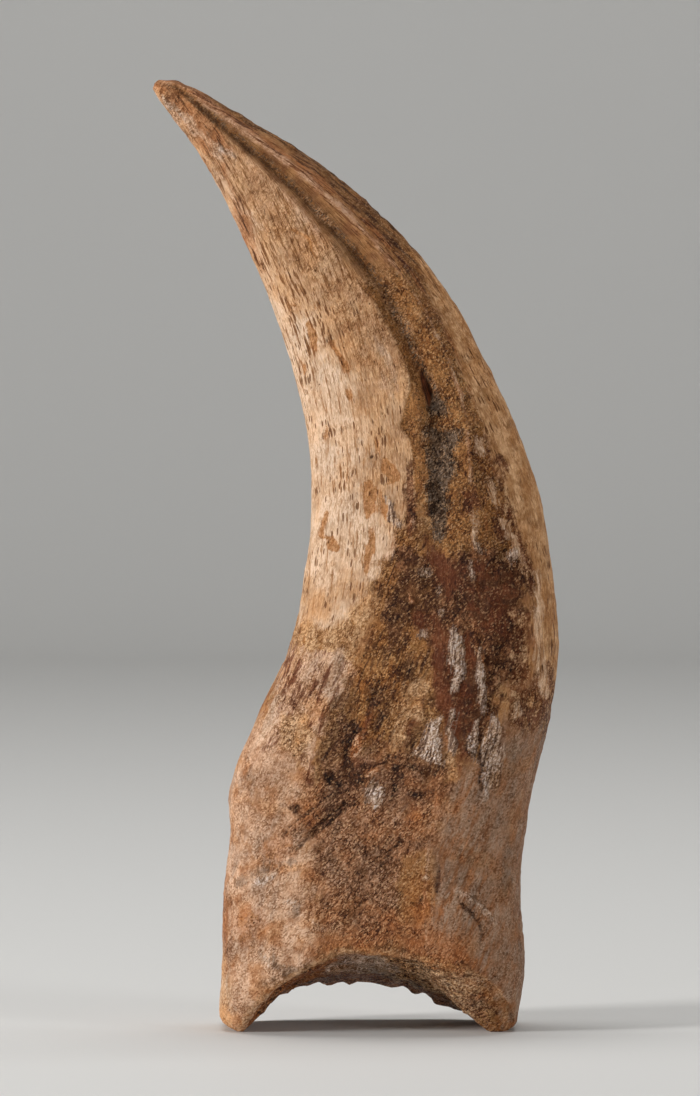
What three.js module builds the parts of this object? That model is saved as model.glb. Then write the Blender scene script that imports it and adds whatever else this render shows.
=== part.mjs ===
// Fossil claw bone of a large meat-eating dinosaur, free of its rock and standing on its joint face.
//
// Millimetres, +Z up. The broad faces look along -Y (front) and +Y (rear). The convex back edge is on
// the +X side and the concave palm edge on the -X side. The bone is one piece: it stands at z = 0 on
// the two lips of its joint face, with the hollow of the joint open between them.

import * as THREE from 'three';

// ---- Driving dimensions ----

// The form, as sections from the joint face to the tip. Columns: distance along the middle line,
// palm edge x and z, back edge x and z, half thickness along Y, squareness of the section
// (2 is an ellipse, more is boxier).
const SECTIONS = [
  [0, -28.9, 0.0, 33.8, 0.0, 17.6, 3.3],
  [15, -27.9, 15.2, 35.9, 14.1, 17.3, 3.1],
  [27, -27.6, 28.7, 35.0, 25.9, 16.9, 3.0],
  [38, -26.2, 41.0, 35.1, 35.1, 16.7, 2.9],
  [49, -25.9, 51.8, 36.3, 43.8, 16.8, 2.8],
  [60, -20.4, 66.1, 37.6, 51.4, 17.0, 2.7],
  [71, -15.2, 77.1, 40.1, 61.3, 17.1, 2.6],
  [82, -12.3, 85.5, 42.5, 74.5, 16.8, 2.5],
  [92, -10.8, 93.0, 42.6, 88.1, 16.3, 2.5],
  [113, -9.3, 108.7, 38.5, 114.4, 14.8, 2.4],
  [135, -10.0, 125.5, 28.5, 139.0, 12.6, 2.3],
  [158, -14.8, 145.3, 14.8, 161.9, 10.1, 2.2],
  [182, -22.9, 165.8, -5.5, 181.0, 7.2, 2.2],
  [202, -32.0, 183.2, -23.5, 192.4, 4.5, 2.1],
  [217, -40.9, 195.3, -36.8, 199.6, 2.6, 2.1],
  [221, -42.6, 198.0, -41.0, 200.0, 1.4, 2.1],
];
const LENGTH = SECTIONS[SECTIONS.length - 1][0]; // along the middle line
const TIP_ROUND = 0.5; // how far the blunt point stands past the last section
const SIDE_BOW = 1.6; // how far the tip leans to the rear
const BACK_FULLNESS = 0.07; // share by which the back half is thicker than the palm half

// The joint face, as three curves across it. Columns: x, height. The face stands highest at the front
// rim, and every curve comes down to the two lips.
const JOINT_FRONT = [
  [-28.5, 1.0], [-25.6, 7.0], [-22.7, 8.2], [-15.4, 11.8], [-8.8, 15.0], [-2.1, 17.9],
  [12.5, 16.2], [21.8, 13.9], [26.0, 12.4], [29.0, 10.2], [31.2, 7.6], [33.5, 1.5],
];
const JOINT_MIDDLE = [
  [-27.5, -1.2], [-24.4, -0.6], [-20.6, 3.0], [-16.6, 7.0], [-10.0, 10.6], [0.0, 12.4],
  [10.0, 11.6], [18.0, 8.0], [24.0, 3.6], [29.2, -0.6], [33.5, -1.2],
];
const JOINT_REAR = [
  [-27.5, -0.4], [-24.4, -0.3], [-20.6, 2.2], [-16.6, 4.9], [-12.0, 6.6], [-6.0, 7.5], [0.0, 7.9],
  [8.0, 7.2], [14.0, 5.5], [20.1, 2.7], [26.0, 1.2], [29.6, -0.3], [33.5, -0.4],
];
const JOINT_CENTRE = [2.4, 0.0]; // x and y of the middle of the joint face
const JOINT_KEEL = 0.9; // height of the low keel that runs across the hollow from lip to lip
const JOINT_KEEL_REACH = 3.5; // half width of that keel
const JOINT_LEAST_DEPTH = 9.0; // half depth of the joint face below which its rims draw together
const LIP_START = 12.0; // distance from the joint's centre where the hollow begins to turn into a lip
const LIP_FULL = 22.0; // and where it is all lip
const LIP_FLAT = 0.56; // share of a lip's half depth that touches the ground

// Rounding of the rim where the wall turns in to the joint face.
const RIM_END = 3.2; // outside each lip
const RIM_FRONT = 2.2; // along the rolled front rim
const RIM_REAR = 1.1; // along the worn rear rim
const REAR_RIM_WEAR = 0.45; // depth of the notches in the rear rim

// The blood-vessel groove along each face. Columns: distance along the middle line, place across the
// section (-1 palm edge, +1 back edge), depth, half width.
const GROOVE = [
  [84, 0.06, 0.0, 3.4],
  [96, 0.06, 0.5, 3.4],
  [110, 0.1, 1.1, 3.3],
  [122, 0.2, 1.7, 3.0],
  [132, 0.32, 2.0, 2.5],
  [146, 0.36, 1.9, 2.2],
  [160, 0.37, 1.7, 2.0],
  [175, 0.35, 1.5, 1.8],
  [190, 0.33, 1.1, 1.5],
  [204, 0.33, 0.7, 1.1],
  [216, 0.45, 0.3, 0.7],
  [221, 0.45, 0.0, 0.6],
];
const CREST_OFFSET = 0.27; // how far to the back of the groove its crest lies, across the section
const CREST_HEIGHT = 0.32; // share of the groove's depth by which the crest stands up
const FURROW_DEPTH = 0.22; // share of it by which a faint furrow behind the crest sinks
const PALM_BANK = 0.8; // the groove's bank on the palm side is steep, as a share of its half width
const BACK_BANK = 1.35; // and the bank that rises to the crest is gentle
const REAR_GROOVE_SHIFT = -0.05; // the rear groove lies this much nearer the palm edge

// Broad low forms of the faces. Columns: distance along, place across, height (less than 0 is a
// hollow), reach along, reach across.
const FRONT_FORMS = [
  [62, -0.35, -0.9, 17, 0.28],
  [34, 0.1, -0.7, 15, 0.6],
  [78, 0.35, 0.6, 14, 0.3],
  [9, -0.1, 0.5, 6, 0.7],
];
const REAR_FORMS = [
  [56, -0.2, -0.9, 16, 0.35],
  [88, 0.3, 0.6, 15, 0.3],
  [28, 0.3, -0.6, 13, 0.4],
  [8, 0.0, 0.5, 6, 0.7],
];
const PALM_KNOB = [48, 0.8, 6]; // swelling where the palm tendon held on: distance along, height, reach

// Fineness of the skin.
const SIDES = 96; // points round a section
const GROOVE_CROWDING = 0.055; // how strongly those points gather at the grooves
const GROOVE_SHARE = 0.39; // where along a half turn the groove lies
const WALL_RINGS = 36; // from the rim to the last section
const RIM_RINGS = 3; // in the rounding of the rim
const JOINT_RINGS = [0.19, 0.38, 0.58, 0.76, 0.88, 0.93, 0.96]; // in the joint face, as shares of its outline
const TIP_RINGS = 2; // in the blunt point
const HALVINGS = 30; // steps taken to find where the wall begins

// ---- Helpers ----

// A smooth curve through rows of [place, value, value, ...]: cubic pieces whose slope at each row is
// the slope between its two neighbours.
function curveThrough(rows) {
  const last = rows.length - 1;
  const slope = (row, column) => {
    const before = rows[Math.max(row - 1, 0)];
    const after = rows[Math.min(row + 1, last)];
    return (after[column] - before[column]) / (after[0] - before[0]);
  };
  return (place) => {
    const held = THREE.MathUtils.clamp(place, rows[0][0], rows[last][0]);
    let row = 0;
    while (row < last - 1 && rows[row + 1][0] < held) row += 1;
    const span = rows[row + 1][0] - rows[row][0];
    const w = (held - rows[row][0]) / span;
    return rows[row].slice(1).map((start, index) => {
      const end = rows[row + 1][index + 1];
      const leaving = slope(row, index + 1) * span;
      const arriving = slope(row + 1, index + 1) * span;
      return (1 + 2 * w) * (1 - w) ** 2 * start + w * (1 - w) ** 2 * leaving
        + w * w * (3 - 2 * w) * end - w * w * (1 - w) * arriving;
    });
  };
}

const bell = (distance, reach) => Math.exp(-((distance / reach) ** 2));
const signedPower = (value, power) => Math.sign(value) * Math.abs(value) ** power;

const sectionAt = curveThrough(SECTIONS);
const grooveAt = curveThrough(GROOVE);
const frontRimAt = curveThrough(JOINT_FRONT);
const middleAt = curveThrough(JOINT_MIDDLE);
const rearRimAt = curveThrough(JOINT_REAR);

// ---- The wall ----

// Height of the relief on one face, outwards: the groove, the crest beside it and the broad forms.
function relief(along, across, halfWidth, isRear) {
  const [line, depth, reach] = grooveAt(along);
  const groovePlace = line + (isRear ? REAR_GROOVE_SHIFT : 0);
  const fromGroove = (across - groovePlace) * halfWidth;
  const fromCrest = fromGroove - CREST_OFFSET * halfWidth;
  const fromFurrow = fromCrest - CREST_OFFSET * halfWidth;
  let height = -depth * bell(fromGroove, reach * (fromGroove < 0 ? PALM_BANK : BACK_BANK));
  height += depth * (CREST_HEIGHT * bell(fromCrest, reach * BACK_BANK) - FURROW_DEPTH * bell(fromFurrow, reach));
  for (const [formAlong, formAcross, formHeight, reachAlong, reachAcross] of isRear ? REAR_FORMS : FRONT_FORMS) {
    height += formHeight * bell(along - formAlong, reachAlong) * bell(across - formAcross, reachAcross);
  }
  return height;
}

// A point of the wall: along the middle line, and at a turn of the section, where 0 is the back edge,
// a quarter turn is the rear face and half a turn the palm edge.
function wallPoint(along, turn) {
  const [palmX, palmZ, backX, backZ, thickness, squareness] = sectionAt(along);
  const across = signedPower(Math.cos(turn), 2 / squareness);
  const outwards = signedPower(Math.sin(turn), 2 / squareness);
  const halfWidth = Math.hypot(backX - palmX, backZ - palmZ) / 2;
  const isRear = outwards > 0;
  const raised = relief(along, across, halfWidth, isRear) * Math.min(1, Math.abs(outwards) * 1.5);
  const depth = thickness * (1 + BACK_FULLNESS * across) * outwards + Math.sign(outwards) * raised;
  const knob = PALM_KNOB[1] * bell(along - PALM_KNOB[0], PALM_KNOB[2]) * Math.max(0, -across) ** 6;
  const stretched = across - (knob * 0.2) / halfWidth;
  return new THREE.Vector3(
    (palmX + backX) / 2 + stretched * (backX - palmX) / 2,
    SIDE_BOW * (along / LENGTH) ** 2 + depth + Math.sign(outwards) * knob * Math.abs(outwards),
    (palmZ + backZ) / 2 + stretched * (backZ - palmZ) / 2,
  );
}

// ---- The joint face ----

// 0 in the hollow of the joint and 1 on its lips.
function lipness(x) {
  return THREE.MathUtils.smoothstep(Math.abs(x - JOINT_CENTRE[0]), LIP_START, LIP_FULL);
}

// Share of the way from the middle curve to a rim curve. Under the hollow it grows evenly; on a lip it
// stays at nothing over the flat part and then climbs.
function rimShare(x, y) {
  const [palmX, , backX, , thickness, squareness] = sectionAt(0);
  const across = Math.min(Math.abs((x - (palmX + backX) / 2) / ((backX - palmX) / 2)), 1);
  const halfDepth = thickness * (1 - across ** squareness) ** (1 / squareness);
  const share = Math.min(Math.abs(y) / Math.max(halfDepth, JOINT_LEAST_DEPTH), 1);
  const hollowShare = share ** 1.5;
  const lipShare = Math.max(0, (share - LIP_FLAT) / (1 - LIP_FLAT)) ** 1.3;
  return THREE.MathUtils.lerp(hollowShare, lipShare, lipness(x));
}

// Height of the joint face. It is cut off level at z = 0, which leaves a flat pad on each lip.
function jointHeight(x, y) {
  const [middle] = middleAt(x);
  const [rim] = y < 0 ? frontRimAt(x) : rearRimAt(x);
  const keel = JOINT_KEEL * bell(y, JOINT_KEEL_REACH) * (1 - lipness(x));
  const notches = Math.sin(x * 0.95) * Math.sin(x * 0.41 + 1.0);
  const wear = y > 0 ? REAR_RIM_WEAR * notches * rimShare(x, y) : 0;
  return Math.max(0, middle - keel + (rim - middle) * rimShare(x, y) + wear);
}

function rimRadius(turn) {
  const side = Math.sin(turn) < 0 ? RIM_FRONT : RIM_REAR;
  return RIM_END * Math.cos(turn) ** 2 + side * Math.sin(turn) ** 2;
}

// How far along the middle line the wall begins at this turn: where it stands one rim radius above the
// joint face. Found by halving.
function wallStart(turn) {
  let low = 0;
  let high = SECTIONS[3][0];
  for (let step = 0; step < HALVINGS; step += 1) {
    const middle = (low + high) / 2;
    const point = wallPoint(middle, turn);
    if (point.z < jointHeight(point.x, point.y) + rimRadius(turn)) low = middle;
    else high = middle;
  }
  return low;
}

// ---- The skin: rings from the middle of the joint face to the point ----

// The turn of each point round a section. Points gather near the grooves, alike on both faces.
function turnOf(side) {
  const shareOfFace = side / (SIDES / 2);
  const spread = (share) => Math.PI * (share - GROOVE_CROWDING
    * (Math.sin(2 * Math.PI * (share - GROOVE_SHARE)) + Math.sin(2 * Math.PI * GROOVE_SHARE)));
  return shareOfFace < 1 ? spread(shareOfFace) : 2 * Math.PI - spread(2 - shareOfFace);
}

function clawRings() {
  const [centreX, centreY] = JOINT_CENTRE;
  const turns = Array.from({ length: SIDES }, (_, side) => turnOf(side));
  const starts = turns.map(wallStart);
  const feet = turns.map((turn, side) => wallPoint(starts[side], turn));

  // A point of the joint's outline drawn in towards the centre, lifted above the joint face.
  const drawnIn = (foot, inset, lift, share = 1) => {
    const reach = Math.hypot(foot.x - centreX, foot.y - centreY);
    const scale = (1 - inset / reach) * share;
    const x = centreX + (foot.x - centreX) * scale;
    const y = centreY + (foot.y - centreY) * scale;
    return new THREE.Vector3(x, y, jointHeight(x, y) + lift);
  };

  const rings = [];
  for (const share of JOINT_RINGS) {
    rings.push(feet.map((foot, side) => drawnIn(foot, rimRadius(turns[side]), 0, share)));
  }
  for (let ring = 0; ring < RIM_RINGS; ring += 1) {
    const bend = (Math.PI / 2) * (ring / RIM_RINGS);
    rings.push(feet.map((foot, side) => {
      const radius = rimRadius(turns[side]);
      return drawnIn(foot, radius * (1 - Math.sin(bend)), radius * (1 - Math.cos(bend)));
    }));
  }
  for (let ring = 0; ring <= WALL_RINGS; ring += 1) {
    const share = ring / WALL_RINGS;
    rings.push(turns.map((turn, side) => wallPoint(LENGTH * share + starts[side] * (1 - share) ** 3, turn)));
  }

  // The blunt point: the last section shrinks as a quarter round.
  const [palmX, palmZ, backX, backZ] = sectionAt(LENGTH);
  const tipMiddle = new THREE.Vector3((palmX + backX) / 2, SIDE_BOW, (palmZ + backZ) / 2);
  const forwards = new THREE.Vector3(palmZ - backZ, 0, backX - palmX).normalize();
  const lastRing = rings[rings.length - 1];
  for (let ring = 1; ring <= TIP_RINGS; ring += 1) {
    const bend = (Math.PI / 2) * (ring / (TIP_RINGS + 1));
    rings.push(lastRing.map((point) => tipMiddle.clone()
      .lerp(point, Math.cos(bend))
      .addScaledVector(forwards, TIP_ROUND * Math.sin(bend))));
  }
  const tip = tipMiddle.clone().addScaledVector(forwards, TIP_ROUND);
  const jointMiddle = new THREE.Vector3(centreX, centreY, jointHeight(centreX, centreY));
  return { jointMiddle, rings, tip };
}

// One closed body: a point in the joint face, the rings, and the point of the claw.
function clawGeometry() {
  const { jointMiddle, rings, tip } = clawRings();
  const points = [jointMiddle, ...rings.flat(), tip];
  const place = (ring, side) => 1 + ring * SIDES + (side % SIDES);
  const faces = [];
  for (let side = 0; side < SIDES; side += 1) {
    faces.push(0, place(0, side + 1), place(0, side));
    for (let ring = 0; ring < rings.length - 1; ring += 1) {
      faces.push(place(ring, side), place(ring, side + 1), place(ring + 1, side + 1));
      faces.push(place(ring, side), place(ring + 1, side + 1), place(ring + 1, side));
    }
    faces.push(place(rings.length - 1, side), place(rings.length - 1, side + 1), points.length - 1);
  }
  const geometry = new THREE.BufferGeometry().setFromPoints(points);
  geometry.setIndex(faces);
  geometry.computeVertexNormals();
  return geometry;
}

const fossilBone = new THREE.MeshStandardMaterial({ color: '#a98258', roughness: 0.62, metalness: 0 });

const claw = new THREE.Mesh(clawGeometry(), fossilBone);
claw.name = 'claw';

const fossil = new THREE.Group();
fossil.add(claw);

export default fossil;
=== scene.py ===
"""The stained bone of a fossil dinosaur claw, and the plain studio that it stands in.

The claw stands upright on the two lips of its joint face. +Z is up, the broad front face looks
along -Y, the concave palm edge is on the -X side and the convex back edge on the +X side. Sizes
and places in this file are millimetres, and MM turns them into Blender's metres.
"""

import itertools
import math
from types import SimpleNamespace

import bpy
import numpy as np
from bpy.props import FloatProperty, FloatVectorProperty, PointerProperty
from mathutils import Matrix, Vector


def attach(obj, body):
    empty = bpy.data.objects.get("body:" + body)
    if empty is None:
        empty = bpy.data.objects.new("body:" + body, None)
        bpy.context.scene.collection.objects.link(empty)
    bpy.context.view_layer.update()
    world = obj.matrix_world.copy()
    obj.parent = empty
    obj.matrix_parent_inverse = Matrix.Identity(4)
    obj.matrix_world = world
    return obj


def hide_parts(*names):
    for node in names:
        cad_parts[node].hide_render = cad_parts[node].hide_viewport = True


bl_info = {
    "name": "Fossil Claw",
    "version": (1, 0, 0),
    "blender": (4, 5, 0),
    "location": "View3D > Sidebar > Fossil Claw",
    "description": "Builds the stained bone surface of a fossil claw and a plain studio for it",
    "category": "Add Mesh",
}

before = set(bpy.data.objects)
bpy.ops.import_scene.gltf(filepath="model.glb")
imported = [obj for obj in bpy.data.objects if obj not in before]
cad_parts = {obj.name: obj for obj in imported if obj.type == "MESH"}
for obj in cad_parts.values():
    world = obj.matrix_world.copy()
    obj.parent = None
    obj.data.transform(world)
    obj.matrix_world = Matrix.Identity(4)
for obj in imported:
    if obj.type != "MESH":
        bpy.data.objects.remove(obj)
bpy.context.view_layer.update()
MM = 0.001


# ---- The form: the same sections and curves as the solid claw ----

# Columns: distance along the middle line, palm edge x and z, back edge x and z, half thickness
# along Y, squareness of the section (2 is an ellipse, more is boxier).
SECTIONS = (
    (0, -28.9, 0, 33.8, 0, 17.6, 3.3),
    (15, -27.9, 15.2, 35.9, 14.1, 17.3, 3.1),
    (27, -27.6, 28.7, 35.0, 25.9, 16.9, 3.0),
    (38, -26.2, 41.0, 35.1, 35.1, 16.7, 2.9),
    (49, -25.9, 51.8, 36.3, 43.8, 16.8, 2.8),
    (60, -20.4, 66.1, 37.6, 51.4, 17.0, 2.7),
    (71, -15.2, 77.1, 40.1, 61.3, 17.1, 2.6),
    (82, -12.3, 85.5, 42.5, 74.5, 16.8, 2.5),
    (92, -10.8, 93.0, 42.6, 88.1, 16.3, 2.5),
    (113, -9.3, 108.7, 38.5, 114.4, 14.8, 2.4),
    (135, -10.0, 125.5, 28.5, 139.0, 12.6, 2.3),
    (158, -14.8, 145.3, 14.8, 161.9, 10.1, 2.2),
    (182, -22.9, 165.8, -5.5, 181.0, 7.2, 2.2),
    (202, -32.0, 183.2, -23.5, 192.4, 4.5, 2.1),
    (217, -40.9, 195.3, -36.8, 199.6, 2.6, 2.1),
    (221, -42.6, 198.0, -41.0, 200.0, 1.4, 2.1),
)
LENGTH = SECTIONS[-1][0]
TIP_ROUND = 0.5  # how far the blunt point stands past the last section
SIDE_BOW = 1.6  # how far the tip leans to the rear
BACK_FULLNESS = 0.07  # share by which the back half is thicker than the palm half

# The joint face, as three curves across it. Columns: x, height.
JOINT_FRONT = (
    (-28.5, 1), (-25.6, 7), (-22.7, 8.2), (-15.4, 11.8), (-8.8, 15), (-2.1, 17.9), (12.5, 16.2),
    (21.8, 13.9), (26, 12.4), (29, 10.2), (31.2, 7.6), (33.5, 1.5),
)
JOINT_MIDDLE = (
    (-27.5, -1.2), (-24.4, -0.6), (-20.6, 3), (-16.6, 7), (-10, 10.6), (0, 12.4), (10, 11.6),
    (18, 8), (24, 3.6), (29.2, -0.6), (33.5, -1.2),
)
JOINT_REAR = (
    (-27.5, -0.4), (-24.4, -0.3), (-20.6, 2.2), (-16.6, 4.9), (-12, 6.6), (-6, 7.5), (0, 7.9),
    (8, 7.2), (14, 5.5), (20.1, 2.7), (26, 1.2), (29.6, -0.3), (33.5, -0.4),
)
JOINT_CENTRE = (2.4, 0)  # x and y
KEEL = (0.9, 3.5)  # height and half width of the low keel across the hollow, from lip to lip
JOINT_LEAST_DEPTH = 9  # half depth of the joint face below which its rims draw together
LIP = (12, 22)  # distances from the joint's centre where a lip begins and where it is all lip
LIP_FLAT = 0.56  # share of a lip's half depth that touches the ground
HOLLOW_CURVE, LIP_CURVE = 1.5, 1.3  # powers by which the hollow and the lips climb to the rim
RIM_PALM, RIM_BACK = 4.2, 2.8  # radius of the rim outside the palm lip and the back lip
RIM_FRONT, RIM_REAR = 1.1, 0.7  # of the front rim and the worn rear rim
REAR_RIM_WEAR = 0.45  # depth of the notches in the rear rim

# The blood-vessel groove along each face. Columns: distance along the middle line, place across
# the section (-1 palm edge, +1 back edge), depth, half width.
GROOVE = (
    (84, 0.06, 0, 3.4), (96, 0.06, 0.5, 3.4), (110, 0.1, 1.1, 3.3), (122, 0.2, 1.7, 3),
    (132, 0.32, 2, 2.5), (146, 0.36, 1.9, 2.2), (160, 0.37, 1.7, 2), (175, 0.35, 1.15, 1.8),
    (190, 0.33, 1.1, 1.5), (204, 0.33, 0.7, 1.1), (216, 0.45, 0.3, 0.7), (221, 0.45, 0, 0.6),
)
CREST_OFFSET = 0.27  # how far to the back of the groove its crest lies, across the section
CREST_HEIGHT = 0.45  # share of the groove's depth by which the crest stands up
FURROW_DEPTH = 0.22  # share of it by which a faint furrow behind the crest sinks
PALM_BANK, BACK_BANK = 0.8, 1.35  # its banks, steep and gentle, as shares of its half width
REAR_GROOVE_SHIFT = -0.05  # the rear groove lies this much nearer the palm edge

# Broad low forms of the faces. Columns: distance along, place across, height (less than 0 is a
# hollow), reach along, reach across.
FRONT_FORMS = (
    (62, -0.35, -0.9, 17, 0.28), (34, 0.1, -0.7, 15, 0.6), (78, 0.35, 0.6, 14, 0.3),
    (9, -0.1, 0.5, 6, 0.7),
)
REAR_FORMS = (
    (56, -0.2, -0.9, 16, 0.35), (88, 0.3, 0.6, 15, 0.3), (28, 0.3, -0.6, 13, 0.4), (8, 0, 0.5, 6, 0.7)
)
PALM_KNOB = (48, 0.8, 6)  # swelling where the palm tendon held on: along, height, reach
KNOB_STRETCH = 0.2  # share of the knob's height by which the palm edge moves out
KNOB_FOCUS = 6  # how closely the knob keeps to the palm edge
RELIEF_ONSET = 1.5  # how soon the relief comes in from the palm and back edges

# Fineness of the skin.
REAR_COLUMNS, FRONT_COLUMNS = 116, 172  # points round each half of a section
GROOVE_CROWDING = 0.04  # how strongly those points gather at the grooves
GROOVE_SHARE = 0.39  # where along a half turn the groove lies
JOINT_ROWS, RIM_ROWS, WALL_ROWS, TIP_ROWS = 26, 5, 296, 4
JOINT_CROWDING = 0.85  # power by which the joint's rows gather at its rim
START_FADE = 3  # power by which the uneven start of the wall evens out along it
HALVINGS = 30  # steps taken to find where the wall begins


def curve_through(rows, places):
    """Smooth curve through rows of (place, value, value, ...), one array for each value.

    Cubic pieces, whose slope at each row is the slope between its two neighbours.
    """
    rows = np.array(rows, float)
    knots, values = rows[:, 0], rows[:, 1:]
    before = np.maximum(np.arange(len(rows)) - 1, 0)
    after = np.minimum(np.arange(len(rows)) + 1, len(rows) - 1)
    slopes = (values[after] - values[before]) / (knots[after] - knots[before])[:, None]
    held = np.clip(places, knots[0], knots[-1])
    row = np.clip(np.searchsorted(knots, held, side="right") - 1, 0, len(rows) - 2)
    span = (knots[row + 1] - knots[row])[..., None]
    w = (held - knots[row])[..., None] / span
    curve = (1 + 2 * w) * (1 - w) ** 2 * values[row] + w * (1 - w) ** 2 * span * slopes[row]
    curve += w * w * (3 - 2 * w) * values[row + 1] - w * w * (1 - w) * span * slopes[row + 1]
    return np.moveaxis(curve, -1, 0)


def bell(distance, reach):
    """1 at the middle, falling off smoothly as e to the minus (distance / reach) squared."""
    return np.exp(-((distance / reach) ** 2))


def ease(value, low, high):
    """0 below low and 1 above high, with a smooth cubic step between."""
    w = np.clip((value - low) / (high - low), 0, 1)
    return w * w * (3 - 2 * w)


def signed_power(value, power):
    """value to a power, keeping its sign."""
    return np.sign(value) * np.abs(value) ** power


def groove_distance(along, across, half_width, is_rear):
    """Distance from the groove's line, less than 0 on its palm side."""
    line = curve_through(GROOVE, along)[0] + np.where(is_rear, REAR_GROOVE_SHIFT, 0)
    return (across - line) * half_width


def face_relief(along, across, half_width, is_rear):
    """Height of the relief on a face: a bell-shaped groove, the crest beside it and broad bells."""
    _, depth, reach = curve_through(GROOVE, along)
    from_groove = groove_distance(along, across, half_width, is_rear)
    from_crest = from_groove - CREST_OFFSET * half_width
    from_furrow = from_crest - CREST_OFFSET * half_width
    bank = np.where(from_groove < 0, PALM_BANK, BACK_BANK)
    height = -depth * bell(from_groove, reach * bank)
    height += depth * CREST_HEIGHT * bell(from_crest, reach * BACK_BANK)
    height -= depth * FURROW_DEPTH * bell(from_furrow, reach)
    for forms, side in ((FRONT_FORMS, ~is_rear), (REAR_FORMS, is_rear)):
        for form_along, form_across, form_height, reach_along, reach_across in forms:
            form = bell(along - form_along, reach_along) * bell(across - form_across, reach_across)
            height += side * form_height * form
    return height


def wall_point(along, turn):
    """Points of the wall.

    The section at along is a superellipse between the palm and back edges. turn goes round it: 0 is
    the back edge, a quarter turn the rear face, half a turn the palm edge and three quarters the
    front face. The relief is added outwards, and the section leans to the rear towards the tip.
    """
    palm_x, palm_z, back_x, back_z, thickness, squareness = curve_through(SECTIONS, along)
    across = signed_power(np.cos(turn), 2 / squareness)
    outwards = signed_power(np.sin(turn), 2 / squareness)
    half_width = np.hypot(back_x - palm_x, back_z - palm_z) / 2
    raised = face_relief(along, across, half_width, outwards > 0)
    raised = raised * np.minimum(1, np.abs(outwards) * RELIEF_ONSET)
    depth = thickness * (1 + BACK_FULLNESS * across) * outwards + np.sign(outwards) * raised
    knob = PALM_KNOB[1] * bell(along - PALM_KNOB[0], PALM_KNOB[2])
    knob = knob * np.maximum(0, -across) ** KNOB_FOCUS
    stretched = across - knob * KNOB_STRETCH / half_width
    x = (palm_x + back_x) / 2 + stretched * (back_x - palm_x) / 2
    y = SIDE_BOW * (along / LENGTH) ** 2 + depth + np.sign(outwards) * knob * np.abs(outwards)
    z = (palm_z + back_z) / 2 + stretched * (back_z - palm_z) / 2
    return np.stack((x, y, z), axis=-1)


def joint_height(x, y):
    """Height of the joint face: from the middle curve up to the front or rear rim curve.

    In the hollow the share of the way to the rim grows evenly. On a lip it stays at nothing over
    the flat part and then climbs. The face is cut off level at z = 0.
    """
    palm_x, _, back_x, _, thickness, squareness = SECTIONS[0][1:]
    across = np.minimum(np.abs((x - (palm_x + back_x) / 2) / ((back_x - palm_x) / 2)), 1)
    half_depth = thickness * (1 - across**squareness) ** (1 / squareness)
    share = np.minimum(np.abs(y) / np.maximum(half_depth, JOINT_LEAST_DEPTH), 1)
    lip = ease(np.abs(x - JOINT_CENTRE[0]), *LIP)
    lip_share = (np.maximum(0, share - LIP_FLAT) / (1 - LIP_FLAT)) ** LIP_CURVE
    to_rim = share**HOLLOW_CURVE * (1 - lip) + lip_share * lip
    middle = curve_through(JOINT_MIDDLE, x)[0]
    rim = np.where(y < 0, curve_through(JOINT_FRONT, x)[0], curve_through(JOINT_REAR, x)[0])
    keel = KEEL[0] * bell(y, KEEL[1]) * (1 - lip)
    notches = np.sin(x * 0.95) * np.sin(x * 0.41 + 1.0)
    wear = np.where(y > 0, REAR_RIM_WEAR * notches * to_rim, 0)
    return np.maximum(0, middle - keel + (rim - middle) * to_rim + wear)


def rim_radius(turn):
    """Radius of the rim: between the lips' radius and the front or rear rim's, by the turn."""
    side = np.where(np.sin(turn) < 0, RIM_FRONT, RIM_REAR)
    end = np.where(np.cos(turn) < 0, RIM_PALM, RIM_BACK)
    return end * np.cos(turn) ** 2 + side * np.sin(turn) ** 2


def wall_start(turn):
    """Where along the middle line the wall begins at each turn: one rim radius above the joint
    face, found by halving."""
    low = np.zeros_like(turn)
    high = np.full_like(turn, SECTIONS[3][0])
    for _ in range(HALVINGS):
        middle = (low + high) / 2
        x, y, z = wall_point(middle, turn).T
        is_below = z < joint_height(x, y) + rim_radius(turn)
        low = np.where(is_below, middle, low)
        high = np.where(is_below, high, middle)
    return low


def half_turn(share):
    """The turn at a share of the way round half a section. The turns gather near the groove."""
    wave = np.sin(2 * np.pi * (share - GROOVE_SHARE)) + np.sin(2 * np.pi * GROOVE_SHARE)
    return np.pi * (share - GROOVE_CROWDING * wave)


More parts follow.
